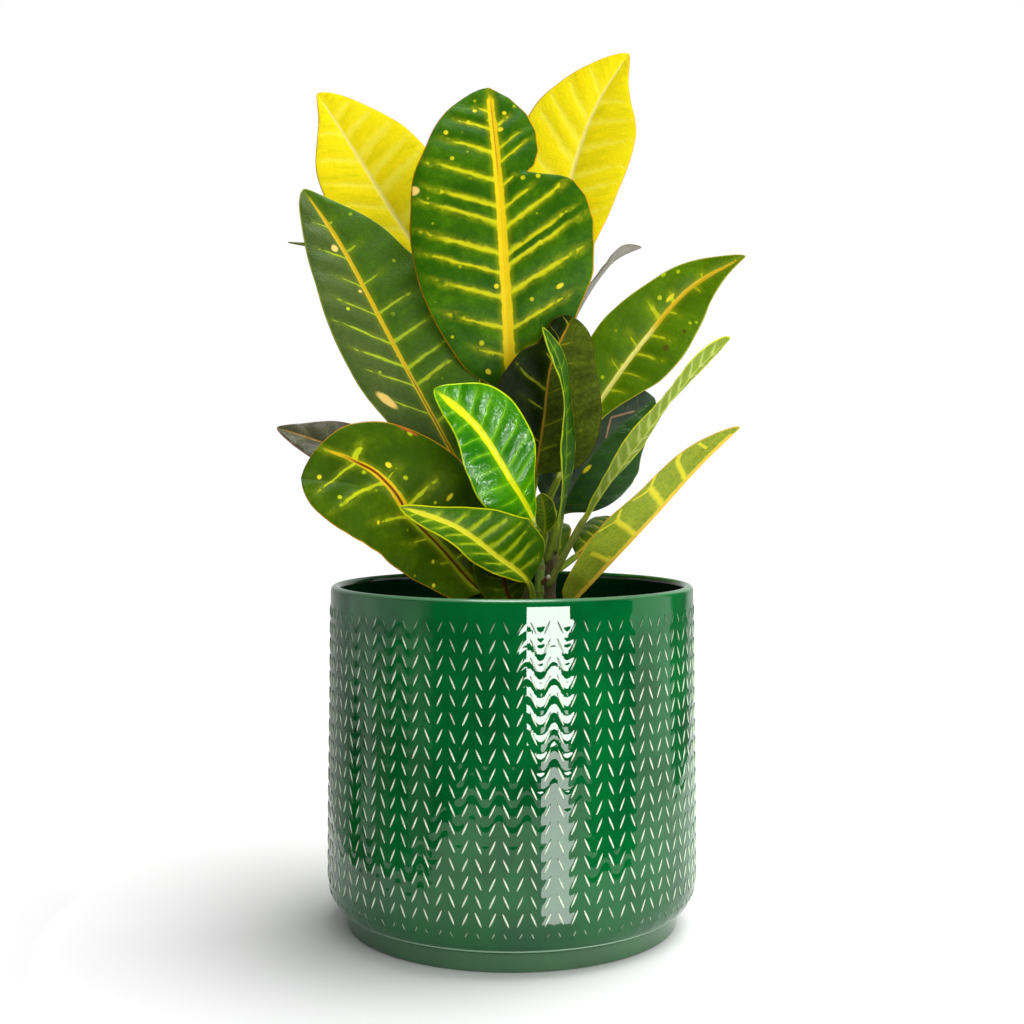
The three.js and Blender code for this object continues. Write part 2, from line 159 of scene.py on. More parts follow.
class Recipe:
    """A procedural material, or the world, while its nodes are being made."""

    def __init__(self, holder):
        self.holder = holder
        holder.use_nodes = True
        self.tree = holder.node_tree
        self.tree.nodes.clear()

    def add(self, kind, **settings):
        node = self.tree.nodes.new(kind)
        for key, value in settings.items():
            setattr(node, key, value)
        return node

    def feed(self, node, inputs):
        for key, value in inputs.items():
            if isinstance(value, Wire):
                self.tree.links.new(value.socket, node.inputs[key])
            else:
                node.inputs[key].default_value = value
        return node

    def out(self, kind, output, inputs, **settings):
        node = self.feed(self.add(kind, **settings), inputs)
        return Wire(self, node.outputs[output])

    def sum(self, operation, *values):
        return self.out("ShaderNodeMath", 0, dict(enumerate(values)), operation=operation)

    def vector(self, x, y, z):
        return self.out("ShaderNodeCombineXYZ", 0, {0: x, 1: y, 2: z})

    def split(self, vector):
        node = self.feed(self.add("ShaderNodeSeparateXYZ"), {0: vector})
        return [Wire(self, output) for output in node.outputs]

    def attribute(self, name, output="Fac"):
        return self.out("ShaderNodeAttribute", output, {}, attribute_name=name)

    def place(self):
        """Object coordinates in millimetres."""
        where = self.out("ShaderNodeTexCoord", "Object", {})
        return self.out("ShaderNodeVectorMath", 0, {0: where, 3: 1 / MM}, operation="SCALE")

    def noise(self, where, size, detail=2.0, roughness=0.5):
        """Noise from 0 to 1 whose blobs are about size across."""
        inputs = {"Vector": where, "Scale": 1 / size, "Detail": detail, "Roughness": roughness}
        return self.out("ShaderNodeTexNoise", "Fac", inputs)

    def cells(self, where, size, output="Distance", feature="F1"):
        inputs = {"Vector": where, "Scale": 1 / size}
        return self.out("ShaderNodeTexVoronoi", output, inputs, feature=feature)

    def mix(self, factor, first, second):
        node = self.add("ShaderNodeMix", data_type="RGBA")
        self.feed(node, {0: factor, 6: first, 7: second})
        return Wire(self, node.outputs[2])

    def bump(self, height, strength=1.0):
        """Normal of a relief whose height is in millimetres."""
        inputs = {"Strength": strength, "Distance": MM, "Height": height}
        return self.out("ShaderNodeBump", "Normal", inputs)

    def surface(self, **inputs):
        shader = self.add("ShaderNodeBsdfPrincipled")
        self.feed(shader, {key.replace("_", " "): value for key, value in inputs.items()})
        output = self.add("ShaderNodeOutputMaterial")
        self.tree.links.new(shader.outputs[0], output.inputs["Surface"])
        return self.holder


def new_recipe(name):
    return Recipe(bpy.data.materials.new(name))


# Cachepot

STITCH_PAIRS = 47
STITCH_ROWS = 18
STITCH_PITCH = 6.235
STITCH_FIRST_Z = 14.4
STITCH_TURN = math.radians(0.28)
STITCH_STEP = math.tau / STITCH_PAIRS
STITCH_ARM = 0.255 * STITCH_STEP
STITCH_LEAN = math.radians(24.5)
STITCH_HALF = (0.38, 0.32, 2.9)
STITCH_SINK = 0.04
CREASE_SWING = 2.35
PAD_RISE = 0.11
FACETS_PER_STITCH = 5

POT_WALL = 4.0
LIP_R = 2.0
FOOT_R = 63.8
FOOT_TOP_R = 64.4
FOOT_HEIGHT = 7.0
STEP_R = 66.3
STEP_Z = 8.0
CORNER_TOP = 21.0
CORNER_DROP = 12.4
CORNER_ROWS = 12
WALL_ROWS = 138
POT_FLOOR = 8.0


def arc(cx, cz, rx, rz, start, stop, steps):
    """Points [radius, height] on an arc between two angles in degrees."""
    points = []
    for i in range(steps + 1):
        angle = math.radians(blend(start, stop, i / steps))
        points.append((cx + rx * math.cos(angle), cz + rz * math.sin(angle)))
    return points


def turn_profile(bm, profile, steps):
    """Turns a profile of [radius, height] points about the Z axis into a closed skin."""
    verts = [bm.verts.new((radius, 0, z)) for radius, z in profile]
    edges = [bm.edges.new(pair) for pair in zip(verts, verts[1:])]
    bmesh.ops.spin(
        bm, geom=verts + edges, axis=(0, 0, 1), cent=(0, 0, 0), steps=steps, angle=math.tau,
        use_merge=True,
    )
    bmesh.ops.remove_doubles(bm, verts=bm.verts, dist=1e-4)
    bmesh.ops.recalc_face_normals(bm, faces=bm.faces)


def wall_radius(z, body, rim, height):
    """Radius of the outer wall: widest low down and drawn in a little to the rim."""
    if z < CORNER_TOP:
        depth = clamp((CORNER_TOP - z) / CORNER_DROP)
        return STEP_R + (body - STEP_R) * math.sqrt(1 - depth * depth)
    return blend(body, rim, smoothstep(z, CORNER_TOP, height))


def stitch_pad(azimuth, z):
    """Height of the knit relief: low pillows in rows that follow a zigzag, 0 at their seams."""
    turn = (azimuth - STITCH_TURN) * STITCH_PAIRS
    row = (z - STITCH_FIRST_Z + CREASE_SWING * math.cos(turn)) / STITCH_PITCH
    inside = smoothstep(row, -0.9, -0.1) * (1 - smoothstep(row, STITCH_ROWS - 1.4, STITCH_ROWS - 0.1))
    place = abs((row + 0.5) % 1.0 - 0.5) * 2
    return inside * PAD_RISE * (1 - place * place) * (1 + 0.35 * math.cos(turn))


def pot_outline(body, rim, height):
    lip = height - LIP_R
    inner = rim - POT_WALL
    outline = [(0, 0), (30, 0), (58, 0), (59.5, 0.5), (61, 0.1), (62, 0)]
    outline += arc(FOOT_R - 1.2, 1.2, 1.2, 1.2, -90, 0, 4)
    outline += [(FOOT_TOP_R, FOOT_HEIGHT - 0.8), (FOOT_TOP_R + 0.35, FOOT_HEIGHT)]
    outline += arc(STEP_R - 0.7, STEP_Z + 0.3, 0.7, 0.7, -80, -10, 4)
    for i in range(CORNER_ROWS):
        z = blend(CORNER_TOP - CORNER_DROP, CORNER_TOP, (i / CORNER_ROWS) ** 1.6)
        outline.append((wall_radius(z, body, rim, height), z))
    for i in range(WALL_ROWS):
        z = blend(CORNER_TOP, lip, i / WALL_ROWS)
        outline.append((wall_radius(z, body, rim, height), z))
    outline += arc(rim - LIP_R, lip, LIP_R, LIP_R, 0, 180, 12)
    outline += [(inner, z) for z in (124, 112, 96, 76, 56, 36, 24)]
    outline += arc(inner - 8, POT_FLOOR + 8, 8, 8, 0, -90, 6)
    outline += [(inner - 20, POT_FLOOR), (0, POT_FLOOR)]
    return outline


def glaze_finish(settings):
    """Thick glossy glaze: deep on the wall, thin and creamy where it breaks over the stitches, with
    painted shade inside and painted highlights at the lip and the foot step.
    """
    mix = new_recipe("green_glaze")
    place = mix.place()
    x, y, z = mix.split(place)
    crest = mix.attribute("crest")
    cloud = mix.noise(place, 22.0, 3.0)
    fine = mix.noise(place, 1.6, 3.0, 0.6)
    radius = mix.sum("SQRT", x * x + y * y)

    green = mix.mix(cloud.rises(0.3, 0.75), tuple(settings.glaze) + (1,), srgb(0, 76, 34))
    green = mix.mix(z.falls(8.0, 34.0) * 0.35, green, srgb(8, 70, 34))
    broken = (crest * (0.8 + fine * 0.4)).rises(0.3, 0.85)
    green = mix.mix(broken * 0.92, green, tuple(settings.crest) + (1,))
    # Lip painted paler: partly thinner glaze on the edge, partly a painted highlight along the rim.
    lip = z.rises(128.8, 129.6) * radius.rises(66.6, 67.6)
    green = mix.mix(lip * 0.45, green, srgb(128, 176, 138))
    # Pale line along the foot step: partly glaze thinning over the edge, partly a painted highlight on the
    # step's rounding.
    step = z.rises(7.9, 8.3) * z.falls(8.5, 9.4) * radius.rises(64.9, 65.6)
    green = mix.mix(step * 0.7, green, srgb(170, 204, 172))
    # Painted light: the foot below the step is painted paler grey-green, lifting it out of the floor's
    # contact shade.
    green = mix.mix(z.falls(7.0, 8.0) * radius.rises(61.0, 63.0) * 0.3, green, srgb(120, 146, 118))
    # Painted shade: the inner wall is darkened where the plant and the grower's pot shade it.
    inside = radius.falls(65.7, 66.3) * z.rises(8.8, 9.6)
    green = mix.mix(inside * 0.75, green, srgb(0, 26, 12))
    bare = z.falls(0.05, 0.5) * radius.falls(61.5, 63.0)
    clay = mix.mix(fine, srgb(196, 178, 150), srgb(222, 208, 184))

    pull = mix.noise(place, 34.0, 1.0) * 0.10 + mix.noise(place, 9.0, 1.0) * 0.012
    return mix.surface(
        Base_Color=mix.mix(bare, green, clay),
        Roughness=bare * 0.7 + 0.02,
        IOR=1.5,
        Normal=mix.bump(pull + fine * 0.0008),
    )


def build_pot(settings):
    height = POT_HIGH.z / MM
    body = POT_HIGH.x / MM
    rim = settings.rim_radius / MM
    bm = bmesh.new()
    bm.verts.layers.float.new("crest")
    turn_profile(bm, pot_outline(body, rim, height), STITCH_PAIRS * 2 * FACETS_PER_STITCH)
    for vert in bm.verts:
        x, y, z = vert.co
        radius = math.hypot(x, y)
        if radius > rim - LIP_R and CORNER_TOP - CORNER_DROP < z < height - LIP_R:
            grown = radius + stitch_pad(math.atan2(x, -y), z)
            vert.co.x *= grown / radius
            vert.co.y *= grown / radius
    finish = glaze_finish(settings)
    finish_piece(bm, "glazed_pot", finish, ["pot"])
    build_stitches(lambda z: wall_radius(z, body, rim, height) + PAD_RISE - STITCH_SINK, finish)


def build_stitches(radius_at, finish):
    """The small slanted ridges of the knit: one column of pairs, repeated round the wall."""
    bm = bmesh.new()
    crest = bm.verts.layers.float.new("crest")
    index = bm.verts.layers.int.new("index")
    for row in range(STITCH_ROWS):
        z = STITCH_FIRST_Z + row * STITCH_PITCH
        taper = math.atan((radius_at(z + 1) - radius_at(z - 1)) / 2)
        for right in (0, 1):
            side = 2 * right - 1
            pose = Matrix.Rotation(STITCH_TURN + side * STITCH_ARM, 4, "Z")
            pose = pose @ Matrix.Translation((0, -radius_at(z), z)) @ Matrix.Rotation(taper, 4, "X")
            pose = pose @ Matrix.Rotation(side * STITCH_LEAN, 4, "Y") @ Matrix.Diagonal((*STITCH_HALF, 1))
            made = bmesh.ops.create_uvsphere(bm, u_segments=6, v_segments=6, radius=1, matrix=pose)
            for vert in made["verts"]:
                proud = math.hypot(vert.co.x, vert.co.y) - radius_at(z)
                vert[crest] = smoothstep(proud, 0.0, 0.22)
                vert[index] = row * 2 + right
    bmesh.ops.spin(
        bm, geom=bm.verts[:] + bm.edges[:] + bm.faces[:], axis=(0, 0, 1), cent=(0, 0, 0),
        steps=STITCH_PAIRS - 1, angle=STITCH_STEP * (STITCH_PAIRS - 1), use_duplicate=True,
    )
    for vert in bm.verts:
        row, right = divmod(vert[index], 2)
        z = STITCH_FIRST_Z + row * STITCH_PITCH
        arm = STITCH_TURN + (2 * right - 1) * STITCH_ARM
        azimuth = arm + STITCH_STEP * round((math.atan2(vert.co.x, -vert.co.y) - arm) / STITCH_STEP)
        centre = Matrix.Rotation(azimuth, 3, "Z") @ Vector((0, -radius_at(z), z))
        wander = Vector((azimuth * 9, z * 0.7, 3.0))
        weight = 0.6 if row == 0 else (0.8 if row == STITCH_ROWS - 1 else 1.0)
        vert.co = centre + (vert.co - centre) * weight * (1 + 0.16 * noise.noise(wander))
        vert.co.z += 0.3 * noise.noise(wander * 2)
        # Painted light: the crests fade towards the rim, where the stitches mirror less of the bright
        # floor; the end rows also fade with their smaller size.
        painted_crest_fade = blend(1.0, 0.72, smoothstep(z, 92, 118)) * weight
        vert[crest] *= painted_crest_fade * (0.92 + 0.3 * noise.noise(wander * 3))
    bm.verts.layers.int.remove(index)
    bmesh.ops.recalc_face_normals(bm, faces=bm.faces)
    finish_piece(bm, "raised_stitches", finish, [])


# Nursery pot and soil

GROWER_FOOT_R = 43.0
GROWER_WALL = 1.1
GROWER_RIM_OUT = 2.2
GROWER_RIM_HEIGHT = 8.0
GROWER_RIBS = 24
GROWER_RIB_RISE = 0.25
GROWER_STEPS = 144


def grower_outline(low, high, outer):
    """Profile of the grower's pot: a raised ring under the floor, a sloping wall and a rolled rim."""
    top = outer - GROWER_RIM_OUT
    foot = GROWER_FOOT_R
    slope = (top - foot) / (high - low)
    band = high - GROWER_RIM_HEIGHT
    outline = [(0, low), (foot - 6, low), (foot - 4, low + 1.2), (foot - 2, low + 0.2)]
    outline += arc(foot - 1.0, low + 1.0, 1.0, 1.0, -90, 0, 3)
    for i in range(1, 12):
        z = blend(low, band - 0.5, i / 12)
        outline.append((foot + slope * (z - low) - 0.4, z))
    outline += [(top - 0.6, band - 0.2), (outer - 0.5, band)]
    outline += arc(outer - 0.6, band + 0.6, 0.6, 0.6, -90, 0, 3)
    outline += arc(outer - 1.0, high - 1.0, 1.0, 1.0, 0, 90, 4)
    outline += arc(top - GROWER_WALL + 1.0, high - 1.0, 1.0, 1.0, 90, 180, 4)
    outline += [(foot + slope * 60 - GROWER_WALL - 0.4, low + 60), (foot - GROWER_WALL, low + GROWER_WALL)]
    return outline + [(0, low + GROWER_WALL)]


def build_nursery_pot(settings):
    """Thin black grower's pot with a rolled rim and shallow ribs."""
    low = NURSERY_LOW.z / MM
    high = NURSERY_HIGH.z / MM
    outer = NURSERY_HIGH.x / MM
    slope = (outer - GROWER_RIM_OUT - GROWER_FOOT_R) / (high - low)
    bm = bmesh.new()
    turn_profile(bm, grower_outline(low, high, outer), GROWER_STEPS)
    for vert in bm.verts:
        x, y, z = vert.co
        radius = math.hypot(x, y)
        on_wall = low + 4 < z < high - GROWER_RIM_HEIGHT - 2
        if on_wall and radius > GROWER_FOOT_R + slope * (z - low) - 0.8:
            rib = GROWER_RIB_RISE * math.cos(GROWER_RIBS * math.atan2(y, x)) ** 8
            vert.co.x *= 1 + rib / radius
            vert.co.y *= 1 + rib / radius
    mix = new_recipe("black_plastic")
    place = mix.place()
    grain = mix.noise(place, 0.9, 2.0)
    dust = mix.noise(place, 18.0, 4.0).rises(0.5, 0.8)
    colour = mix.mix(dust * 0.5, srgb(24, 24, 25), srgb(58, 54, 48))
    finish = mix.surface(
        Base_Color=colour, Roughness=0.42 + dust * 0.3, Normal=mix.bump(grain * 0.03),
    )
    return finish_piece(bm, "grower_pot", finish, ["nursery_pot"])


SOIL_LOOSE = 520
SOIL_STEPS = 150
SOIL_SKIN = 1.6
SOIL_DISH = 0.9
GOLDEN_ANGLE = 2.399963
BARK_FROM = 0.42
PERLITE_FROM = 0.66


def soil_finish():
    """Dark peat with bark chips and a little white perlite, told apart by the grain attribute."""
    mix = new_recipe("potting_soil")
    place = mix.place()
    grain = mix.attribute("grain")
    crumb = mix.noise(place, 1.4, 4.0, 0.65)
    patch = mix.noise(place, 9.0, 3.0)
    peat = mix.mix(crumb.rises(0.3, 0.7), srgb(26, 18, 13), srgb(74, 54, 38))
    peat = mix.mix(patch.rises(0.45, 0.7) * 0.6, peat, srgb(48, 36, 27))
    streak = mix.noise(place, 0.7, 3.0, 0.7)
    bark = mix.mix(streak.rises(0.3, 0.7), srgb(62, 38, 22), srgb(128, 88, 56))
    white = mix.mix(streak, srgb(196, 190, 178), srgb(232, 230, 222))
    colour = mix.mix(grain.rises(0.2, 0.3), peat, bark)
    colour = mix.mix(grain.rises(0.7, 0.8), colour, white)
    return mix.surface(Base_Color=colour, Roughness=0.92, Normal=mix.bump(crumb * 0.7 + streak * 0.12))


def build_soil(settings):
    """Crumbly soil body with loose bark, clods and perlite lying on it."""
    low = SOIL_LOW.z / MM
    top = SOIL_HIGH.z / MM
    edge = SOIL_HIGH.x / MM - 0.1
    bm = bmesh.new()
    grain = bm.verts.layers.float.new("grain")
    outline = [(0, low), (30, low), (41, low + 1), (edge - 7, low + 50)]
    outline += [(edge - 1.2, top - 4.5), (edge - 0.3, top - 2.8)]
    for radius in range(int(edge) - 2, 0, -2):
        outline.append((radius, top - SOIL_SKIN - SOIL_DISH * (radius / edge) ** 3))
    outline += [(0, top - SOIL_SKIN)]
    turn_profile(bm, outline, SOIL_STEPS)
    for vert in bm.verts:
        if vert.co.z > top - 3.2:
            spot = vert.co * 0.16
            vert.co.z += 0.8 * noise.noise(spot) + 0.6 * noise.noise(spot * 3.1)
    for i in range(SOIL_LOOSE):
        angle = i * GOLDEN_ANGLE
        radius = (edge - 2.5) * math.sqrt((i + 0.5) / SOIL_LOOSE)
        x, y = radius * math.cos(angle), radius * math.sin(angle)
        seed = Vector((x * 3.7, y * 2.9, 11.0))
        kind = 0.5 + 0.5 * noise.noise(seed)
        size = 0.7 + 1.1 * abs(noise.noise(seed * 1.7)) + 0.5 * abs(noise.noise(seed * 2.3))
        level = 1 if kind > PERLITE_FROM else (0.5 if kind > BARK_FROM else 0)
        stretch = (1.9, 0.9, 0.5) if level == 0.5 else (1, 0.9, 0.8)
        z = top - SOIL_SKIN - 0.1 - SOIL_DISH * (radius / edge) ** 3 + size * 0.2
        pose = Matrix.Translation((x, y, z)) @ Matrix.Rotation(angle * 7, 4, "Z")
        pose = pose @ Matrix.Rotation(0.5 * noise.noise(seed * 5), 4, "Y")
        pose = pose @ Matrix.Diagonal((size * stretch[0], size * stretch[1], size * stretch[2], 1))
        made = bmesh.ops.create_icosphere(bm, subdivisions=1, radius=1, matrix=pose)
        for vert in made["verts"]:
            vert.co += 0.22 * size * noise.noise_vector(vert.co * 1.3)
            vert[grain] = level
    return finish_piece(bm, "soil_surface", soil_finish(), ["soil"])


# Stems

# Each stem is [x, y, z, radius] from its foot in the soil to its tip
STEMS = {
    "stem_main": [
        (3, 8, 84, 4.2), (3, 8, 112, 4.0), (4, 7, 146, 3.7), (3, 8, 175, 3.4), (1, 9, 200, 3.0),
        (1, 9, 214, 2.0),
    ],
    "stem_front": [
        (10, -16, 84, 2.0), (10, -16, 112, 2.0), (10, -15.5, 126, 1.8), (10.5, -15, 136, 1.7),
        (9, -13, 152, 1.3),
    ],
    "stem_back": [
        (14, 32, 84, 3.2), (14, 32, 112, 3.1), (16, 33, 140, 2.9), (18, 36, 168, 2.6), (18, 37, 186, 1.8),
    ],
}


def rolled_grid(bm, around, along):
    """A grid rolled into a tube: each vertex with its place round the tube and along it, from 0 to 1."""
    made = bmesh.ops.create_grid(bm, x_segments=around, y_segments=along, size=0.5)
    return [(vert, vert.co.x + 0.5, vert.co.y + 0.5) for vert in made["verts"]]


def close_tube(bm):
    """Joins the tube's seam and its pointed ends."""
    bmesh.ops.remove_doubles(bm, verts=bm.verts, dist=2e-4)
    bmesh.ops.recalc_face_normals(bm, faces=bm.faces)


def stem_finish():
    mix = new_recipe("stem_bark")
    place = mix.place()
    x, y, z = mix.split(place)
    young = mix.attribute("young")
    scar = mix.attribute("scar")
    streaked = mix.vector(x, y, z * 0.22)
    fibre = mix.noise(streaked, 1.1, 4.0, 0.6)
    blotch = mix.noise(place, 5.0, 3.0)
    green = mix.mix(fibre.rises(0.3, 0.7), srgb(96, 134, 36), srgb(132, 164, 58))
    brown = mix.mix(fibre.rises(0.3, 0.7), srgb(56, 50, 26), srgb(92, 82, 48))
    colour = mix.mix(young.rises(0.2, 0.8), brown, green)
    colour = mix.mix(blotch.rises(0.55, 0.75) * 0.4, colour, srgb(84, 80, 44))
    colour = mix.mix(scar.rises(0.3, 0.7), colour, srgb(128, 74, 48))
    colour = mix.mix(scar.rises(0.85, 0.98), colour, srgb(228, 216, 196))
    return mix.surface(
        Base_Color=colour, Roughness=0.5, Normal=mix.bump(fibre * 0.22 + blotch * 0.1),
        Subsurface_Weight=0.1, Subsurface_Radius=(0.6, 0.9, 0.2), Subsurface_Scale=MM,
    )


def build_stems(settings):
    finish = stem_finish()
    pieces = []
    for name, rows in STEMS.items():
        bm = bmesh.new()
        young = bm.verts.layers.float.new("young")
        scar = bm.verts.layers.float.new("scar")
        foot, top = rows[0][2], rows[-1][2]
        joints = [joint["root_z"] for joint in LEAVES if joint["on"] == name]
        for vert, round_, up in rolled_grid(bm, 28, 150):
            z = blend(foot, top, up)
            x, y, _, radius = along_rows(rows, z)
            for joint in joints:
                radius += 0.32 * math.exp(-((z - joint + 2.2) / 0.9) ** 2)
            radius += 0.12 * noise.noise(Vector((z * 0.35, 4 * math.cos(math.tau * round_), 0)))
            close = min(up, 1 - up) * (top - foot)
            radius *= math.sqrt(clamp(1 - (1 - clamp(close / 1.4)) ** 2))
            angle = math.tau * round_
            vert.co = (x + radius * math.cos(angle), y + radius * math.sin(angle), z)
            vert[young] = smoothstep(z, 118, 168) if name != "stem_front" else smoothstep(z, 96, 112)
            vert[scar] = max(
                (0.55 * math.exp(-((z - joint + 2.2) / 0.7) ** 2) for joint in joints), default=0,
            )
        close_tube(bm)
        if name == "stem_front":
            add_stub(bm, young, scar)
        pieces.append(finish_piece(bm, "croton_" + name, finish, [name]))
    return pieces


def add_stub(bm, young, scar):
    """The dry stub of a dropped leaf on the front shoot."""
    start, end = Vector((11.2, -16.0, 131.2)), Vector((14.3, -18.6, 134.2))
    turn = (end - start).to_track_quat("Z", "Y")
    for vert, round_, up in rolled_grid(bm, 14, 12):
        radius = blend(1.15, 0.75, up) * (0.0 if up in (0.0, 1.0) else 1.0)
        angle = math.tau * round_
        ring = turn @ Vector((radius * math.cos(angle), radius * math.sin(angle), 0))
        vert.co = start.lerp(end, up) + ring + 0.15 * noise.noise_vector(Vector((angle, up * 5, 2)))
        vert[young] = 0.1
        vert[scar] = blend(0.5, 1.0, smoothstep(up, 0.55, 0.8))
    close_tube(bm)


# Leaf colours

# What a look says of a leaf, and the values of a plain one
LOOK = {
    "green": srgb(80, 124, 2), "deep": srgb(56, 98, 2), "other": None, "patch": None,
    "rib": srgb(236, 212, 40), "rib_foot": None, "rib_turn": 0.5, "rib_width": (1.6, 0.6),
    "rib_taper": 0.85, "rib_end": 0.97, "core": None, "core_width": 0.3, "core_span": (0.0, 1.0),
    "vein": srgb(222, 214, 30), "bold": 1.2, "soft": 0.0, "halo": 0.25, "net": 0.0, "crackle": 0.3,
    "margin": srgb(222, 180, 30), "margin_width": 0.35, "under": srgb(130, 156, 50),
    "under_vein": srgb(190, 200, 70), "petiole": srgb(128, 150, 40), "dots": 0.25,
    "rough": 0.36, "shine": 0.12, "glow": 0.1,
}


def look(**changes):
    return {**LOOK, **changes}


DARK = look(
    green=srgb(52, 88, 14), deep=srgb(34, 64, 12), rib=srgb(214, 176, 42), vein=srgb(150, 170, 40),
    halo=0.1, margin=srgb(130, 140, 30), under=srgb(92, 118, 44), dots=0.2,
)
OLIVE = look(
    green=srgb(84, 114, 2), deep=srgb(60, 90, 2), rib=srgb(222, 186, 34), vein=srgb(170, 180, 34),
    halo=0.15, margin=srgb(196, 150, 30), under=srgb(136, 152, 56), dots=0.35,
)
YELLOW = look(
    green=srgb(255, 236, 16), deep=srgb(255, 230, 4), patch=srgb(228, 216, 6), rib=srgb(255, 244, 130),
    rib_width=(2.6, 1.2), rib_taper=0.7, vein=srgb(255, 238, 64), bold=2.0, soft=0.6, halo=0.2,
    margin=srgb(248, 168, 0), margin_width=0.3, under=srgb(240, 214, 10), under_vein=srgb(255, 236, 110),
    petiole=srgb(200, 190, 50), dots=0.0, crackle=0.1, rough=0.5, shine=0.1, glow=0.2,
)
CROWN_FRONT = look(
    green=srgb(80, 128, 0), deep=srgb(42, 92, 0), rib=srgb(240, 214, 24), rib_width=(4.5, 2.4),
    rib_taper=0.95, core=srgb(206, 140, 24), core_span=(0.7, 1.0), vein=srgb(216, 214, 20), bold=1.35,
    soft=0.3, halo=0.3, margin=srgb(228, 160, 10), dots=0.8, shine=0.08,
)
# The grey-green of the left half is partly the blade's colour, partly a painted sheen; the other colour is
# the greener right half.
LEFT_UPPER = look(
    green=srgb(90, 106, 42), deep=srgb(66, 92, 30), other=srgb(76, 120, 4), rib=srgb(226, 190, 30),
    rib_width=(1.5, 1.5), core=srgb(120, 96, 40), core_span=(0.0, 0.35), vein=srgb(172, 196, 30),
    bold=1.5, halo=0.2, margin=srgb(168, 176, 20), rough=0.4, shine=0.2,
)
YOUNG = look(
    green=srgb(84, 164, 0), deep=srgb(40, 124, 0), rib=srgb(244, 246, 20), rib_width=(1.5, 3.0),
    vein=srgb(130, 204, 0), halo=0.5, margin=srgb(208, 240, 0), margin_width=0.55,
    under=srgb(120, 190, 40), dots=0.15, crackle=0.12, rough=0.12, shine=0.4, glow=0.15,
)
LEFT_LOW = look(
    green=srgb(80, 110, 0), deep=srgb(54, 84, 0), rib=srgb(228, 196, 26), rib_foot=srgb(158, 176, 14),
    rib_taper=0.55, rib_end=0.9, rib_width=(3.8, 3.0), core=srgb(112, 26, 6), core_width=0.6,
    core_span=(0.0, 0.8), vein=srgb(188, 202, 20), bold=1.5, halo=0.25, margin=srgb(206, 156, 20),
    dots=0.3, shine=0.08,
)
FRONT_LOW = look(
    green=srgb(84, 134, 0), deep=srgb(52, 98, 0), rib=srgb(228, 224, 50), rib_width=(1.8, 1.8),
    vein=srgb(168, 190, 14), bold=1.7, soft=0.4, halo=0.35, margin=srgb(214, 216, 10),
    margin_width=0.45, dots=0.1,
)
LEFT_FAR = look(
    green=srgb(98, 98, 66), deep=srgb(84, 86, 56), rib=srgb(216, 160, 60), rib_width=(0.8, 0.7),
    vein=srgb(120, 124, 80), margin=srgb(190, 130, 110), margin_width=0.25, dots=0.0, shine=0.3,
)
RIGHT_UPPER = look(
    green=srgb(104, 144, 0), deep=srgb(82, 120, 0), rib=srgb(236, 196, 36),
    rib_foot=srgb(250, 240, 130), rib_turn=0.6, rib_width=(1.8, 1.5), vein=srgb(200, 208, 20), bold=1.4,
    margin=srgb(176, 170, 20), dots=0.35,
)
# Painted shade: the near-black green of the left half is the fold's shade; the olive other colour is the
# right half in light.
CENTRE_DARK = look(
    green=srgb(38, 62, 0), deep=srgb(16, 32, 0), other=srgb(104, 122, 30), rib=srgb(188, 150, 46),
    rib_width=(0.9, 0.6), vein=srgb(140, 150, 26), margin=srgb(74, 44, 16), margin_width=0.25, dots=0.2,
    halo=0.1, shine=0.06,
)
CENTRE_NARROW = look(
    green=srgb(60, 108, 6), deep=srgb(34, 74, 6), margin=srgb(170, 190, 30), margin_width=0.7,
    rib=srgb(110, 150, 40), rib_width=(0.8, 0.5), vein=srgb(96, 136, 20), under=srgb(52, 100, 16),
    dots=0.0,
)
RIGHT_MIDDLE = look(
    green=srgb(100, 144, 20), deep=srgb(80, 124, 16), under=srgb(142, 166, 52), bold=2.2, soft=0.5,
    under_vein=srgb(184, 200, 100), rib=srgb(186, 200, 84), margin=srgb(210, 214, 24), margin_width=0.9,
    dots=0.0, petiole=srgb(150, 164, 74),
)
RIGHT_LOW = look(
    green=srgb(100, 128, 10), deep=srgb(80, 108, 10), under=srgb(132, 154, 38),
    under_vein=srgb(222, 210, 48), rib=srgb(226, 196, 62), rib_width=(3.4, 2.4), rib_taper=0.95,
    margin=srgb(214, 166, 50), margin_width=0.35, net=0.14, dots=0.0,
)
RIGHT_BACK = look(
    green=srgb(66, 92, 60), deep=srgb(36, 62, 44), other=srgb(40, 88, 14), rib=srgb(60, 90, 44),
    rib_width=(0.6, 0.4), vein=srgb(178, 128, 96), bold=0.2, halo=0.0, margin=srgb(60, 80, 30),
    dots=0.15, rough=0.3, shine=0.5,
)
CROWN_BACK = look(
    green=srgb(116, 112, 90), deep=srgb(96, 94, 76), under=srgb(150, 148, 138), rib=srgb(150, 140, 96),
    under_vein=srgb(168, 160, 146), margin=srgb(120, 110, 74), dots=0.0, shine=0.3,
)
BUD = look(
    green=srgb(100, 136, 6), deep=srgb(80, 114, 6), rib=srgb(150, 170, 30), rib_width=(0.8, 0.4),
    vein=srgb(118, 152, 12), bold=0.6, halo=0.1, margin=srgb(186, 190, 20), margin_width=0.4, dots=0.0,
)
LOW_INNER = look(
    green=srgb(86, 118, 2), deep=srgb(62, 94, 2), rib=srgb(96, 20, 10), rib_width=(1.3, 0.9),
    vein=srgb(120, 150, 30), margin=srgb(150, 170, 20), dots=0.0,
)


BEIGE = srgb(244, 208, 112)
YELLOW_DOT = srgb(230, 216, 36)
LIME = srgb(184, 206, 14)
BROWN = srgb(90, 84, 12)


def dots(colour, *places):
    """Round spots of one colour from their (across, along, radius)."""
    return [(across, along, radius, radius, 0.0, colour) for across, along, radius in places]


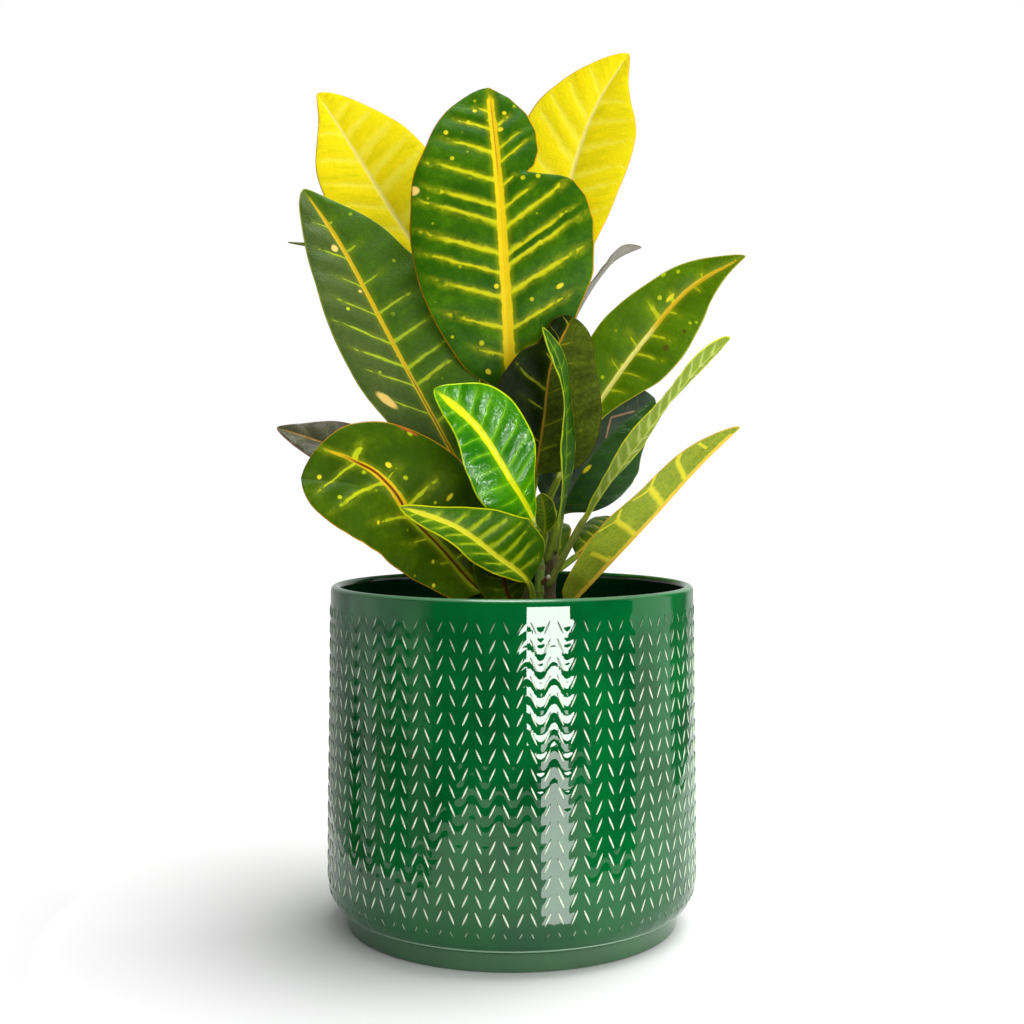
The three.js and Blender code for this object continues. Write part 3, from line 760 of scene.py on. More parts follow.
# Leaves. Each has the stem that it grows on, the height of its root there, the way that its blade
# faces, the points of its midrib and its half-widths at both sides. Veins are (place along the blade,
# reach towards the edge, half-width). Spots are (across, along, half-width, half-length, slant, colour)
# and strokes (across, along, across, along, half-width), both with across counted from the midrib.

def regular_veins(count, reach=0.6, width=0.3, start=0.08, stop=0.92):
    veins = []
    for i in range(count):
        wander = noise.noise(Vector((i * 1.7, count * 0.31, reach)))
        place = blend(start, stop, (i + 0.5) / count) + 0.012 * wander
        veins.append((place, reach * (1 + 0.5 * wander), width))
    return veins


def leaf(name, on, root_z, face, points, left, right, look_, **extra):
    spec = {
        "name": name, "on": on, "root_z": root_z, "face": face, "points": points, "left": left,
        "right": right, "look": look_, "fold": (12, 12), "curl": (-10, -10), "wave": (1, 2, 0),
        "veins": (regular_veins(8), regular_veins(8)), "lean": ((0.5, 0.6), (0.5, 0.6)), "bow": (0, 0),
        "slot": "dark_leaf", "spots": (), "strokes": (), "ruffle": 0.3, "sway": 0.0,
    }
    spec.update(extra)
    return spec


LEAVES = [
    leaf(
        "crown_front", "stem_main", 198, (0.05, -1, 0.15),
        [(0, -1, 203), (-2, -6, 236), (-5, -4, 282), (-9, 12, 323)],
        (10, 18, 26, 32.5, 35, 33, 26.5, 19, 8.5),
        (
            (0.03, 10), (0.1, 17), (0.18, 24), (0.283, 30), (0.352, 33), (0.443, 35), (0.515, 35),
            (0.592, 32.6), (0.65, 28.5), (0.668, 23), (0.677, 14), (0.684, 10.5), (0.7, 14),
            (0.757, 16.7), (0.826, 16.7), (0.896, 13.3), (0.956, 7.5),
        ),
        CROWN_FRONT, fold=(4, 4), curl=(-8, -8), wave=(1.5, 1.5, 0), slot="bright_leaf",
        veins=(
            [
                (0.12, 0.5, 0.3), (0.202, 0.7, 0.42), (0.296, 0.72, 0.45), (0.368, 0.8, 0.42),
                (0.426, 0.8, 0.55), (0.524, 0.8, 0.5), (0.57, 0.7, 0.5), (0.654, 0.82, 0.5),
                (0.752, 0.66, 0.5), (0.838, 0.6, 0.4), (0.902, 0.3, 0.3),
            ],
            [
                (0.11, 0.5, 0.3), (0.193, 0.7, 0.42), (0.302, 0.8, 0.6), (0.388, 0.82, 0.55),
                (0.416, 0.7, 0.5), (0.502, 0.85, 0.6), (0.561, 0.3, 0.35), (0.632, 0.3, 0.35),
                (0.712, 0.75, 0.3), (0.756, 0.5, 0.3), (0.84, 0.35, 0.4),
            ],
        ),
        lean=((0.22, 0.42), (0.45, 0.95)), bow=(0, -0.004),
        spots=[
            (-32.4, 79.5, 2.4, 1.9, 0.0, BEIGE), (20.6, 40.0, 1.5, 1.0, 0.4, YELLOW_DOT),
            *dots(YELLOW_DOT, (-8.8, 9.4, 1.1), (-3.5, 41.2, 1.0), (2.6, 103.8, 1.2), (-6.5, 113.0, 0.9)),
            *dots(YELLOW_DOT, (-9.4, 107.9, 0.9), (-18.4, 103.4, 1.0), (4.8, 111.3, 0.9)),
        ],
    ),
    leaf(
        "crown_left", "stem_main", 208, (0.2, -1, 0.2),
        [(-8, 22, 220), (-25, 36, 244), (-48, 48, 278), (-66, 54, 307), (-82, 56, 332)],
        (6, 15, 22, 21, 5.5), (8, 20, 30, 25, 11), YELLOW, slot="yellow_leaf",
        veins=(
            [
                (0.3, 0.9, 0.5), (0.4, 0.9, 0.5), (0.5, 0.9, 0.5), (0.58, 0.9, 0.5), (0.66, 0.9, 0.5),
                (0.75, 0.9, 0.5), (0.85, 0.8, 0.4),
            ],
            [
                (0.4, 0.95, 0.8), (0.52, 0.95, 0.8), (0.64, 0.95, 0.8), (0.695, 0.95, 0.7),
                (0.765, 0.95, 0.7), (0.84, 0.9, 0.6), (0.9, 0.8, 0.5),
            ],
        ),
        lean=((0.5, 0.5), (0.35, 0.35)),
    ),
    leaf(
        "crown_right", "stem_main", 206, (-0.2, -1, 0.2),
        [(9, 24, 222), (17, 38, 255), (26, 48, 300), (36, 52, 327), (49, 54, 348)],
        (8, 19, 27, 24, 9.5), (6, 11, 20.5, 21.5, 6), YELLOW, slot="yellow_leaf",
        veins=(
            [
                (0.42, 0.9, 0.5), (0.52, 0.9, 0.6), (0.62, 0.9, 0.7), (0.68, 0.9, 0.6), (0.755, 0.9, 0.5),
                (0.84, 0.8, 0.5),
            ],
            [
                (0.42, 0.9, 0.5), (0.51, 0.9, 0.5), (0.565, 0.9, 0.5), (0.66, 0.9, 0.5),
                (0.745, 0.9, 0.5), (0.82, 0.8, 0.5),
            ],
        ),
        lean=((0.7, 0.8), (0.5, 0.4)),
    ),
    leaf(
        "left_upper", "stem_main", 146, (0.3, -1, 0.2),
        [(-16, -4, 168), (-28, -8, 190), (-45, -4, 221), (-66, 6, 260), (-82, 14, 284)],
        (8, 17.5, 21, 16, 7), (9, 23.5, 30.5, 20, 6.5), LEFT_UPPER,
        veins=(
            [
                (0.1, 0.5, 0.25), (0.225, 0.7, 0.22), (0.315, 0.62, 0.3), (0.377, 0.7, 0.38),
                (0.45, 0.8, 0.3), (0.545, 0.6, 0.25), (0.64, 0.4, 0.2), (0.735, 0.6, 0.25),
                (0.85, 0.4, 0.2),
            ],
            [
                (0.2, 0.5, 0.3), (0.32, 0.62, 0.4), (0.37, 0.62, 0.4), (0.457, 0.6, 0.35),
                (0.552, 0.5, 0.3), (0.65, 0.3, 0.2), (0.76, 0.3, 0.2), (0.86, 0.2, 0.2),
            ],
        ),
        lean=((0.9, 0.95), (0.2, 0.15)),
        spots=[
            (-13.6, 42.6, 2.6, 3.1, -1.2, BEIGE), (-3.2, 106.8, 1.4, 1.7, 0.0, BEIGE),
            *dots(BEIGE, (-2.4, 86.2, 0.8)), *dots(LIME, (-10.5, 80.6, 0.8)),
        ],
    ),
    leaf(
        "front_young", "stem_front", 140, ((0.2, -1, 0.3), (-0.4, -1, 0.5)),
        [(8, -20, 154), (-1, -30, 171), (-12.5, -35, 189), (-28, -38, 203)],
        (8, 13.8, 13, 8, 3.5), (3, 8.5, 15.5, 15, 6), YOUNG, slot="bright_leaf", ruffle=0.7,
        veins=(regular_veins(9, 0.8, 0.2, 0.05, 0.98), regular_veins(10, 0.8, 0.2, 0.05, 0.98)),
        lean=((0.2, 0.3), (0.6, 0.5)),
    ),
    leaf(
        "left_low", "stem_main", 118, (0.1, -1, 0.5),
        [(-12, -14, 128), (-30, -26, 149), (-50, -38, 167), (-75, -44, 171)],
        (9, 16, 20, 22, 13), (13, 25, 29, 25, 13), LEFT_LOW, slot="olive_leaf", sway=14.0,
        veins=(
            [(0.2, 0.3, 0.2), (0.35, 0.4, 0.2), (0.49, 0.55, 0.35), (0.66, 0.75, 0.4), (0.78, 0.6, 0.25)],
            [(0.2, 0.3, 0.2), (0.35, 0.3, 0.2), (0.53, 0.5, 0.35), (0.66, 0.2, 0.1), (0.79, 0.4, 0.5)],
        ),
        lean=((0.75, 0.75), (-0.15, -0.15)),
        spots=[
            *dots(YELLOW_DOT, (1.0, 79.5, 0.9), (10.5, 58.1, 1.1), (-11.5, 53.4, 0.8), (-6.6, 23.9, 0.8)),
            (15.7, 35.1, 1.9, 0.9, 0.0, YELLOW_DOT), *dots(YELLOW_DOT, (-12.8, 17.5, 0.8)),
            *dots(LIME, (-7.0, 72.0, 0.9)), (26.4, 57.0, 0.5, 3.0, 0.0, srgb(186, 90, 40)),
        ],
    ),
    leaf(
        "front_low", "stem_front", 122, (0, -0.9, 0.4),
        [(6, -22, 132), (-5, -33, 142), (-20, -42, 153.5), (-40, -46, 161)],
        (3, 6, 8, 6, 3), (14, 18, 13, 5, 2), FRONT_LOW, fold=(12, 22), slot="bright_leaf", ruffle=0.5,
        veins=(
            regular_veins(8, 0.8, 0.3),
            [
                (0.12, 0.6, 0.3), (0.2, 0.7, 0.4), (0.3, 0.8, 0.45), (0.4, 0.8, 0.45), (0.49, 0.8, 0.45),
                (0.57, 0.8, 0.4), (0.66, 0.7, 0.35), (0.78, 0.6, 0.3),
            ],
        ),
        lean=((1.6, 1.6), (-0.3, -0.3)),
    ),
    leaf(
        "left_far", "stem_main", 148, (0, -0.7, 0.7),
        [(-12, 28, 152), (-39, 46, 166), (-70, 60, 181), (-102, 70, 192)],
        (4, 10, 15, 12, 5), (4, 11, 17, 14, 5), LEFT_FAR, slot="olive_leaf",
    ),
    leaf(
        "left_back", "stem_main", 195, (0, -0.15, 1),
        [(-14, 36, 214), (-39, 62, 246), (-72, 82, 268), (-100, 90, 275)],
        (4, 10, 13, 10, 4), (4, 10, 13, 10, 4), DARK,
    ),
    leaf(
        "right_upper", "stem_main", 150, (-0.1, -1, 0.2),
        [(18, 8, 170), (33, 12, 198), (54, 14, 227), (70, 14, 245), (91, 8, 257)],
        (6, 13, 18, 12, 4.5), (2, 4.5, 16, 13, 3), RIGHT_UPPER, slot="bright_leaf",
        veins=(
            [
                (0.15, 0.2, 0.2), (0.3, 0.25, 0.15), (0.42, 0.25, 0.15), (0.52, 0.3, 0.15),
                (0.645, 0.5, 0.5), (0.715, 0.25, 0.5), (0.84, 0.3, 0.2),
            ],
            [
                (0.2, 0.5, 0.15), (0.27, 0.6, 0.2), (0.35, 0.6, 0.2), (0.42, 0.6, 0.2), (0.5, 0.6, 0.35),
                (0.58, 0.45, 0.3), (0.68, 0.3, 0.2), (0.8, 0.3, 0.2),
            ],
        ),
        lean=((0.35, 0.35), (0.35, 0.35)),
        spots=[
            *dots(LIME, (-11.1, 88.5, 0.9), (-8.1, 92.6, 0.8), (12.0, 83.5, 0.7), (10.3, 81.4, 0.8)),
            (-2.8, 84.2, 0.8, 2.4, 0.0, YELLOW_DOT), *dots(LIME, (-4.5, 43.5, 0.8)),
            *dots(BROWN, (10.7, 77.0, 0.8), (9.1, 67.5, 1.3)),
        ],
    ),
    leaf(
        "centre_dark", "stem_main", 156, (0, -1, 0),
        [(9, -1, 172), (12, -5, 192), (15, -9, 214), (23, -7, 232)],
        (
            (0.03, 8), (0.15, 15), (0.3, 20), (0.45, 21), (0.58, 19), (0.7, 13), (0.76, 8), (0.85, 7.5),
            (0.93, 6.5), (0.985, 3.5),
        ),
        (14, 22, 22, 17, 9.5), CENTRE_DARK, fold=(25, 25),
        veins=(
            [(0.2, 0.3, 0.2), (0.4, 0.4, 0.2), (0.52, 0.8, 0.45), (0.7, 0.3, 0.2)],
            [(0.15, 0.4, 0.3), (0.3, 0.6, 0.25), (0.5, 0.5, 0.2), (0.65, 0.6, 0.2), (0.8, 0.4, 0.2)],
        ),
    ),
    leaf(
        "centre_narrow", "stem_front", 139, (1, -0.35, 0),
        [(17, -20, 153), (20, -20, 180), (18, -22, 211), (11, -28, 226)],
        (3, 6, 7, 7, 4), (3, 6, 7, 6, 3), CENTRE_NARROW,
    ),
    leaf(
        "right_middle", "stem_front", 130, (-0.7, 0.35, 0.6),
        [(27, -22, 156), (48, -24, 186), (69, -22, 212), (81, -20, 223)],
        (4, 8, 9, 8, 5.5), (4, 8, 9, 8, 5.5), RIGHT_MIDDLE, slot="olive_leaf",
        veins=(regular_veins(12, 0.9, 0.3), regular_veins(12, 0.9, 0.3)),
    ),
    leaf(
        "right_low", "stem_front", 114, (-0.5, 0.75, 0.4),
        [(20, -21, 122), (49, -38, 155), (67, -46, 176), (80, -50, 189)],
        (4, 10, 14, 11, 4), (9, 16, 18, 14, 6), RIGHT_LOW, fold=(60, 0), slot="olive_leaf",
        veins=(regular_veins(6, 0.1, 0.2), regular_veins(6, 0.1, 0.2)),
        strokes=[
            (0.5, 68.0, 10.8, 72.2, 0.8), (10.8, 72.2, 14.5, 79.5, 0.7), (1.0, 55.8, 12.5, 59.5, 1.1),
            (12.5, 59.5, 15.5, 53.0, 0.5), (12.5, 59.5, 15.5, 64.5, 0.6), (1.5, 40.7, 13.5, 42.9, 1.0),
            (13.5, 42.9, 16.5, 36.5, 0.4), (13.5, 42.9, 16.5, 47.5, 0.5), (1.8, 26.4, 11.0, 26.9, 0.9),
            (4.6, 81.5, 8.5, 81.1, 0.5),
        ],
        lean=((0.3, 0.3), (0.2, 0.2)),
    ),
    leaf(
        "right_back", "stem_back", 140, (0, -1, 0.1),
        [(20, 24, 156), (26, 22, 170), (38, 26, 186), (58, 32, 203)],
        (10, 20, 24, 20, 10), (10, 18, 19, 12, 5), RIGHT_BACK,
        veins=([(0.3, 0.1, 0.1), (0.62, 0.1, 0.1)], [(0.3, 0.1, 0.1), (0.6, 0.1, 0.1)]),
        strokes=[(-5.0, 43.2, -1.0, 52.3, 0.3), (-5.0, 43.2, -0.4, 36.3, 0.3)],
        spots=[(1.4, 21.0, 1.0, 2.2, 1.2, YELLOW_DOT)],
    ),
    leaf(
        "crown_back", "stem_main", 196, (-0.6, 0.1, 0.6),
        [(17, 30, 216), (27, 50, 239), (38, 66, 257), (48, 76, 268), (57, 82, 271.5)],
        (4, 8, 11, 8, 3), (4, 8, 11, 8, 3), CROWN_BACK,
    ),
    leaf(
        "front_bud", "stem_front", 142, (0, -1, 0.4),
        [(12.5, -8.5, 150), (12.5, -9.5, 156), (11, -11, 165)], (2, 4, 5, 4, 2), (2, 4, 4.5, 4, 2), BUD,
        slot="bright_leaf",
    ),
    leaf(
        "low_inner", "stem_main", 112, (0, -1, 0.5),
        [(0, -8, 121), (-3, -16, 132), (-5, -22, 146), (-8, -22, 160)],
        (5, 9, 11, 8, 4), (5, 9, 11, 8, 4), LOW_INNER, slot="olive_leaf",
    ),
    leaf(
        "rear_top", "stem_main", 189, (0, -0.5, 1),
        [(2, 28, 207), (8, 50, 246), (10, 78, 260), (12, 102, 256)],
        (8, 16, 20, 17, 8), (8, 16, 20, 17, 8), DARK,
    ),
    leaf(
        "rear_left", "stem_main", 185, (0.3, -0.4, 1),
        [(-8, 26, 198), (-22, 50, 220), (-34, 74, 234), (-42, 95, 236)],
        (8, 16, 20, 17, 8), (8, 16, 20, 17, 8), DARK,
    ),
    leaf(
        "rear_right", "stem_back", 180, (-0.3, -0.4, 1),
        [(24, 50, 194), (36, 72, 212), (46, 92, 220), (54, 108, 220)],
        (7, 14, 18, 15, 7), (7, 14, 18, 15, 7), DARK,
    ),
    leaf(
        "rear_low_right", "stem_back", 132, (-0.3, -0.3, 1),
        [(27, 44, 138), (38, 58, 148), (49, 76, 152), (58, 92, 150)],
        (5, 10, 12, 10, 5), (5, 10, 12, 10, 5), OLIVE, slot="olive_leaf",
    ),
    leaf(
        "rear_low_left", "stem_back", 142, (0.2, -0.4, 1),
        [(2, 44, 150), (-22, 58, 160), (-42, 70, 168), (-60, 78, 170)],
        (7, 14, 18, 15, 7), (7, 14, 18, 15, 7), OLIVE, slot="olive_leaf",
    ),
    leaf(
        "rear_mid", "stem_main", 170, (0, -0.4, 1),
        [(0, 26, 182), (-4, 48, 196), (-8, 74, 204), (-12, 96, 200)],
        (6, 13, 16, 13, 6), (6, 13, 16, 13, 6), DARK,
    ),
    leaf(
        "rear_side_left", "stem_main", 130, (0.3, -0.3, 1),
        [(-14, 20, 140), (-36, 36, 150), (-58, 46, 150)], (5, 10, 13, 11, 5), (5, 10, 13, 11, 5), OLIVE,
        slot="olive_leaf",
    ),
    leaf(
        "rear_side_right", "stem_back", 168, (-0.2, -0.5, 1),
        [(28, 42, 176), (42, 50, 186), (54, 56, 188)], (5, 9, 12, 10, 5), (5, 9, 12, 10, 5), DARK,
    ),
    leaf(
        "crown_small", "stem_main", 211, (0, -1, 0.4), [(2, 17, 226), (3, 22, 242), (3, 30, 262)],
        (3, 6, 9, 8, 4), (3, 6, 9, 8, 4), RIGHT_UPPER, slot="bright_leaf",
    ),
    leaf(
        "rear_low", "stem_back", 124, (0, -0.3, 1),
        [(12, 48, 132), (10, 62, 142), (6, 82, 148), (2, 100, 145)],
        (7, 14, 18, 15, 7), (7, 14, 18, 15, 7), OLIVE, slot="olive_leaf",
    ),
]


# Leaf shapes

STEM_GAP = 0.4
PETIOLE_R = 1.4
SPINE_STEPS = 90


class Spine:
    """Smooth curve through points, read by its length."""

    def __init__(self, points):
        ends = [points[0] * 2 - points[1]] + points + [points[-1] * 2 - points[-2]]
        self.track = []
        for i in range(len(points) - 1):
            for step in range(SPINE_STEPS):
                self.track.append(self.between(*ends[i:i + 4], step / SPINE_STEPS))
        self.track.append(points[-1])
        self.lengths = [0.0]
        for a, b in zip(self.track, self.track[1:]):
            self.lengths.append(self.lengths[-1] + (b - a).length)
        self.foot = self.lengths[SPINE_STEPS]
        self.total = self.lengths[-1]

    @staticmethod
    def between(p0, p1, p2, p3, w):
        d0, d1, d2 = (math.sqrt((b - a).length) for a, b in ((p0, p1), (p1, p2), (p2, p3)))
        t1 = ((p1 - p0) / d0 - (p2 - p0) / (d0 + d1) + (p2 - p1) / d1) * d1
        t2 = ((p2 - p1) / d1 - (p3 - p1) / (d1 + d2) + (p3 - p2) / d2) * d1
        square = p2 * 3 - p1 * 3 - t1 * 2 - t2
        cube = p1 * 2 - p2 * 2 + t1 + t2
        return p1 + t1 * w + square * (w * w) + cube * w ** 3

    def at(self, length):
        """Point and direction at a length from the start."""
        length = clamp(length, 0, self.total)
        low, high = 0, len(self.lengths) - 1
        while high - low > 1:
            middle = (low + high) // 2
            if self.lengths[middle] <= length:
                low = middle
            else:
                high = middle
        k = (length - self.lengths[low]) / (self.lengths[high] - self.lengths[low])
        before, after = self.track[max(low - 1, 0)], self.track[min(high + 1, len(self.track) - 1)]
        return self.track[low].lerp(self.track[high], k), (after - before).normalized()


def half_width(widths, t):
    """Half-width of a blade at t. Plain entries stand closer together near both ends of the blade."""
    t = clamp(t)
    if isinstance(widths[0], tuple):
        pairs = ((0, 0), *widths, (1, 0))
        n = next((i for i, pair in enumerate(pairs) if i and pair[0] >= t), len(pairs) - 1)
        (t0, w0), (t1, w1) = pairs[n - 1], pairs[n]
        return blend(w0, w1, (t - t0) / (t1 - t0))
    full = (0, *widths, 0)
    s = math.acos(1 - 2 * t) / math.pi * (len(full) - 1)
    i = min(int(s), len(full) - 2)
    k = s - i
    a, b, c, d = full[max(i - 1, 0)], full[i], full[i + 1], full[min(i + 2, len(full) - 1)]
    return b + 0.5 * k * (c - a + k * (2 * a - 5 * b + 4 * c - d + k * (3 * (b - c) + d - a)))


def soft_width(widths, t):
    """half_width with the corners between listed pairs rounded off."""
    if not isinstance(widths[0], tuple):
        return half_width(widths, t)
    reach = 0.005 * math.sqrt(clamp(4 * t * (1 - t)))
    return sum(half_width(widths, t + reach * step / 2) for step in (-2, -1, 0, 1, 2)) / 5


def half_blade(width, v, fold, curl):
    """Point across one half of a blade that stands up by fold and bends by curl, v from midrib to edge."""
    f, c = math.radians(fold), math.radians(curl)
    if abs(c) < 0.01:
        return width * v * math.cos(f), width * v * math.sin(f)
    return width * (math.sin(f + c * v) - math.sin(f)) / c, width * (math.cos(f) - math.cos(f + c * v)) / c


def padded_veins(veins):
    """The listed veins with two bare ones before and after them."""
    step = 0.12
    first, last = veins[0][0], veins[-1][0]
    before = [(first - 2 * step, 0, 0.2), (first - step, 0, 0.2)]
    return [*before, *veins, (last + step, 0, 0.2), (last + 2 * step, 0, 0.2)]


def vein_phase(veins, t):
    """A number that is whole at each vein of one side, at the place t along the midrib."""
    rows = padded_veins(veins)
    for i in range(len(rows) - 1):
        if t < rows[i + 1][0]:
            return i + (t - rows[i][0]) / (rows[i + 1][0] - rows[i][0])
    return len(rows) - 1.0


AROUND = 72
BLADE_ROW = 1.05
PETIOLE_ROW = 1.6
PETIOLE_TIP = 1.1


def leaf_spine(spec):
    """Midrib from the stem's skin through the listed points."""
    x, y, z, radius = along_rows(STEMS[spec["on"]], spec["root_z"])
    axis = Vector((x, y, z))
    points = [Vector(point) for point in spec["points"]]
    out = points[0] - axis
    rise = abs(out.z) / out.length
    flat = Vector((out.x, out.y, 0)).normalized()
    return Spine([axis + flat * (radius + STEM_GAP + PETIOLE_R * rise)] + points)


def leaf_rings(spec, spine, length):
    """Place, direction, normal, side and half-widths of each ring from the stem to the tip."""
    faces = spec["face"] if isinstance(spec["face"][0], tuple) else (spec["face"], spec["face"])
    faces = [Vector(face) for face in faces]
    blade_rows = int(clamp(length / BLADE_ROW, 36, 118))
    petiole_rows = int(clamp(spine.foot / PETIOLE_ROW, 7, 18))
    rings = []
    for i in range(petiole_rows):
        share = i / petiole_rows
        rings.append((share - 1, spine.foot * share))
    for i in range(blade_rows + 1):
        even = i / blade_rows
        t = blend((1 - math.cos(math.pi * even)) / 2, even, 0.6)
        rings.append((t, spine.foot + length * t))
    frames = []
    for t, run in rings:
        at, tangent = spine.at(run)
        normal = faces[0].lerp(faces[1], max(t, 0))
        normal = (normal - tangent * normal.dot(tangent)).normalized()
        widths = [soft_width(spec[key], t) if t > 0 else 0.0 for key in ("left", "right")]
        frames.append((t, at, tangent, normal, tangent.cross(normal), widths))
    return frames


def leaf_mesh(spec, seed, spine, length, settings):
    """Petiole and blade as one closed skin with sunken veins, a raised rib below and a waved edge."""
    relief = settings.vein_relief / MM
    thick = settings.blade_thickness / MM / 2
    ripple = Vector((seed * 5.3, 0, 0))
    bm = bmesh.new()
    blade_layer = bm.verts.layers.float_vector.new("blade")
    under_layer = bm.verts.layers.float.new("under")
    petiole_layer = bm.verts.layers.float.new("petiole")
    frames = leaf_rings(spec, spine, length)
    rings = len(frames) - 1
    for vert, around, along in rolled_grid(bm, AROUND, rings):
        t, at, tangent, normal, side, widths = frames[round(along * rings)]
        lower = around > 0.5
        c = 3 - 4 * around if lower else 4 * around - 1
        c -= 0.085 * math.sin(math.tau * c)
        v, i = abs(c), int(c > 0)
        sign = 1 if c > 0 else -1
        width = max(widths[i] * (1 + 0.03 * noise.noise(ripple + Vector((t * 9, i * 7, 0)))), 0.0)
        fold, curl = spec["fold"][i], spec["curl"][i]
        x, y = half_blade(width, v, fold, curl)
        inside = max(t, 0)
        full = math.sin(math.pi * inside)
        swell, count, phase = spec["wave"]
        y += swell * v * v * math.sin(math.tau * (count * t + phase + 0.5 * i)) * full
        y += spec["ruffle"] * v ** 3 * full * noise.noise(ripple + Vector((t * length / 7, 3 * i, 2)))
        lean = blend(*spec["lean"][i], inside)
        reach = width * v
        at_midrib = (t * length - lean * reach - spec["bow"][i] * reach * reach) / length
        between = math.sin(math.pi * vein_phase(spec["veins"][i], at_midrib)) ** 2
        quilt = relief * between * smoothstep(reach, 0.6, 5) * (1 - v ** 5) * smoothstep(t, 0.0, 0.12)
        half = thick * math.sqrt(clamp(1 - v ** 10))
        rib = 0.75 * (1 - 0.75 * inside) * math.exp(-(reach / blend(1.3, 0.7, inside)) ** 2)
        groove = 0.22 * math.exp(-(reach / 0.8) ** 2)
        tilt = math.radians(fold + curl * v) * smoothstep(reach, 0, 1.5)
        lift = quilt + (-half - rib if lower else half - groove)
        bx, by = x * sign - math.sin(tilt) * sign * lift, y + math.cos(tilt) * lift
        turn = math.pi / 2 * (1 - c)
        thin = PETIOLE_R * (1 + 0.22 * math.exp(-((t + 1) / 0.12) ** 2))
        px, py = thin * math.cos(turn), thin * math.sin(turn) * (-1 if lower else 1)
        if not lower:
            py -= 0.35 * PETIOLE_R * math.exp(-(c / 0.35) ** 2)
        k = smoothstep(t, -0.04, 0.09)
        place = at + side * blend(px, bx, k) + normal * blend(py, by, k)
        if along == 0.0:
            place = at - tangent * PETIOLE_TIP
        elif along == 1.0:
            place = at
        vert.co = place
        vert[blade_layer] = (sign * reach, t * length, width * (1 - v))
        vert[under_layer] = float(lower)
        vert[petiole_layer] = 1 - smoothstep(t, -0.03, 0.05)
    close_tube(bm)
    return bm


# Leaf finish

def vein_curves(mix, where, veins):
    """Phase, reach and half-width of one side's veins, read at a place along the midrib."""
    rows = padded_veins(veins)
    node = mix.add("ShaderNodeVectorCurve")
    gaps = [rows[i + 1][0] - rows[i][0] for i in range(len(rows) - 1)]
    for channel in range(3):
        values = []
        for i, (t, reach, width) in enumerate(rows):
            gap = (gaps[max(i - 1, 0)] + gaps[min(i, len(gaps) - 1)]) / 2
            values.append((t - 0.5, (i / 16, reach, width / gap / 100)[channel]))
        points = node.mapping.curves[channel].points
        points[0].location, points[1].location = values[0], values[-1]
        for value in values[1:-1]:
            points.new(*value)
        for point in points:
            point.handle_type = "VECTOR"
    node.mapping.update()
    mix.feed(node, {"Vector": mix.vector(where, where, where)})
    phase, reach, width = mix.split(Wire(mix, node.outputs[0]))
    return phase * 16.0, reach, width * 100.0


def vein_marks(mix, spec, seed, length, x, s, edge, where):
    """Masks of the side veins: lines that break into dots, a soft band round them and streaks between,
    used for painted shade between the veins and for the patches of yellow blades.
    """
    tints = spec["look"]
    reach = abs(x)
    share = reach / (reach + edge + 0.01)
    right = x.over(0.0)
    wander = (mix.noise(where, 7.0, 1.5) - 0.5) * 4.6
    knots = mix.noise(where, 3.0, 1.0)
    beads = mix.noise(where, 2.6, 0.5).rises(0.5, 0.58)
    line, band, flow = 0.0, 0.0, 0.0
    for i, here in enumerate((1.0 - right, right)):
        foot, tip = spec["lean"][i]
        lean = s * ((tip - foot) / length) + foot
        at_midrib = (s + wander * share - lean * reach - reach * reach * spec["bow"][i]) / length - 0.5
        phase, extent, half = vein_curves(mix, at_midrib, spec["veins"][i])
        distance = abs(mix.sum("FRACT", phase + 0.5) - 0.5)
        width = half * (tints["bold"] / length) * (1.25 - share * 0.7) * (knots * 1.7 + 0.15)
        whole = share.falls(extent * 0.7, extent)
        frayed = share.falls(extent, extent + 0.16) * beads
        end = mix.sum("MAXIMUM", whole, frayed) * here
        line = distance.falls(width * (0.65 - tints["soft"]), width * (1.5 + tints["soft"])) * end + line
        band = distance.falls(width, width + 0.22) * share.falls(extent, extent + 0.3) * here + band
        flow = at_midrib * here * length + flow
    streaks = mix.noise(mix.vector(flow, reach * 0.22, right * 50.0 + seed * 7.0), 2.8, 2.0)
    return line, band, streaks


def stroke_mask(mix, strokes, across, s, where):
    """Lines that are placed one by one between two points (across, along), with their half-width."""
    rough = (mix.noise(where, 2.0, 1.0) - 0.5) * 1.1
    mask = 0.0
    for x0, s0, x1, s1, half in strokes:
        run, rise = x1 - x0, s1 - s0
        square = run * run + rise * rise
        dx, ds = across - x0, s - s0
        share = mix.sum("MINIMUM", mix.sum("MAXIMUM", (dx * run + ds * rise) / square, 0.0), 1.0)
        off_x, off_s = dx - share * run, ds - share * rise
        off = mix.sum("SQRT", off_x * off_x + off_s * off_s) + rough * half
        mask = mix.sum("MAXIMUM", mask, off.falls(half * 0.4, half * 1.8))
    return mask


def darker(colour, share):
    return (*(share * part for part in colour[:3]), 1.0)


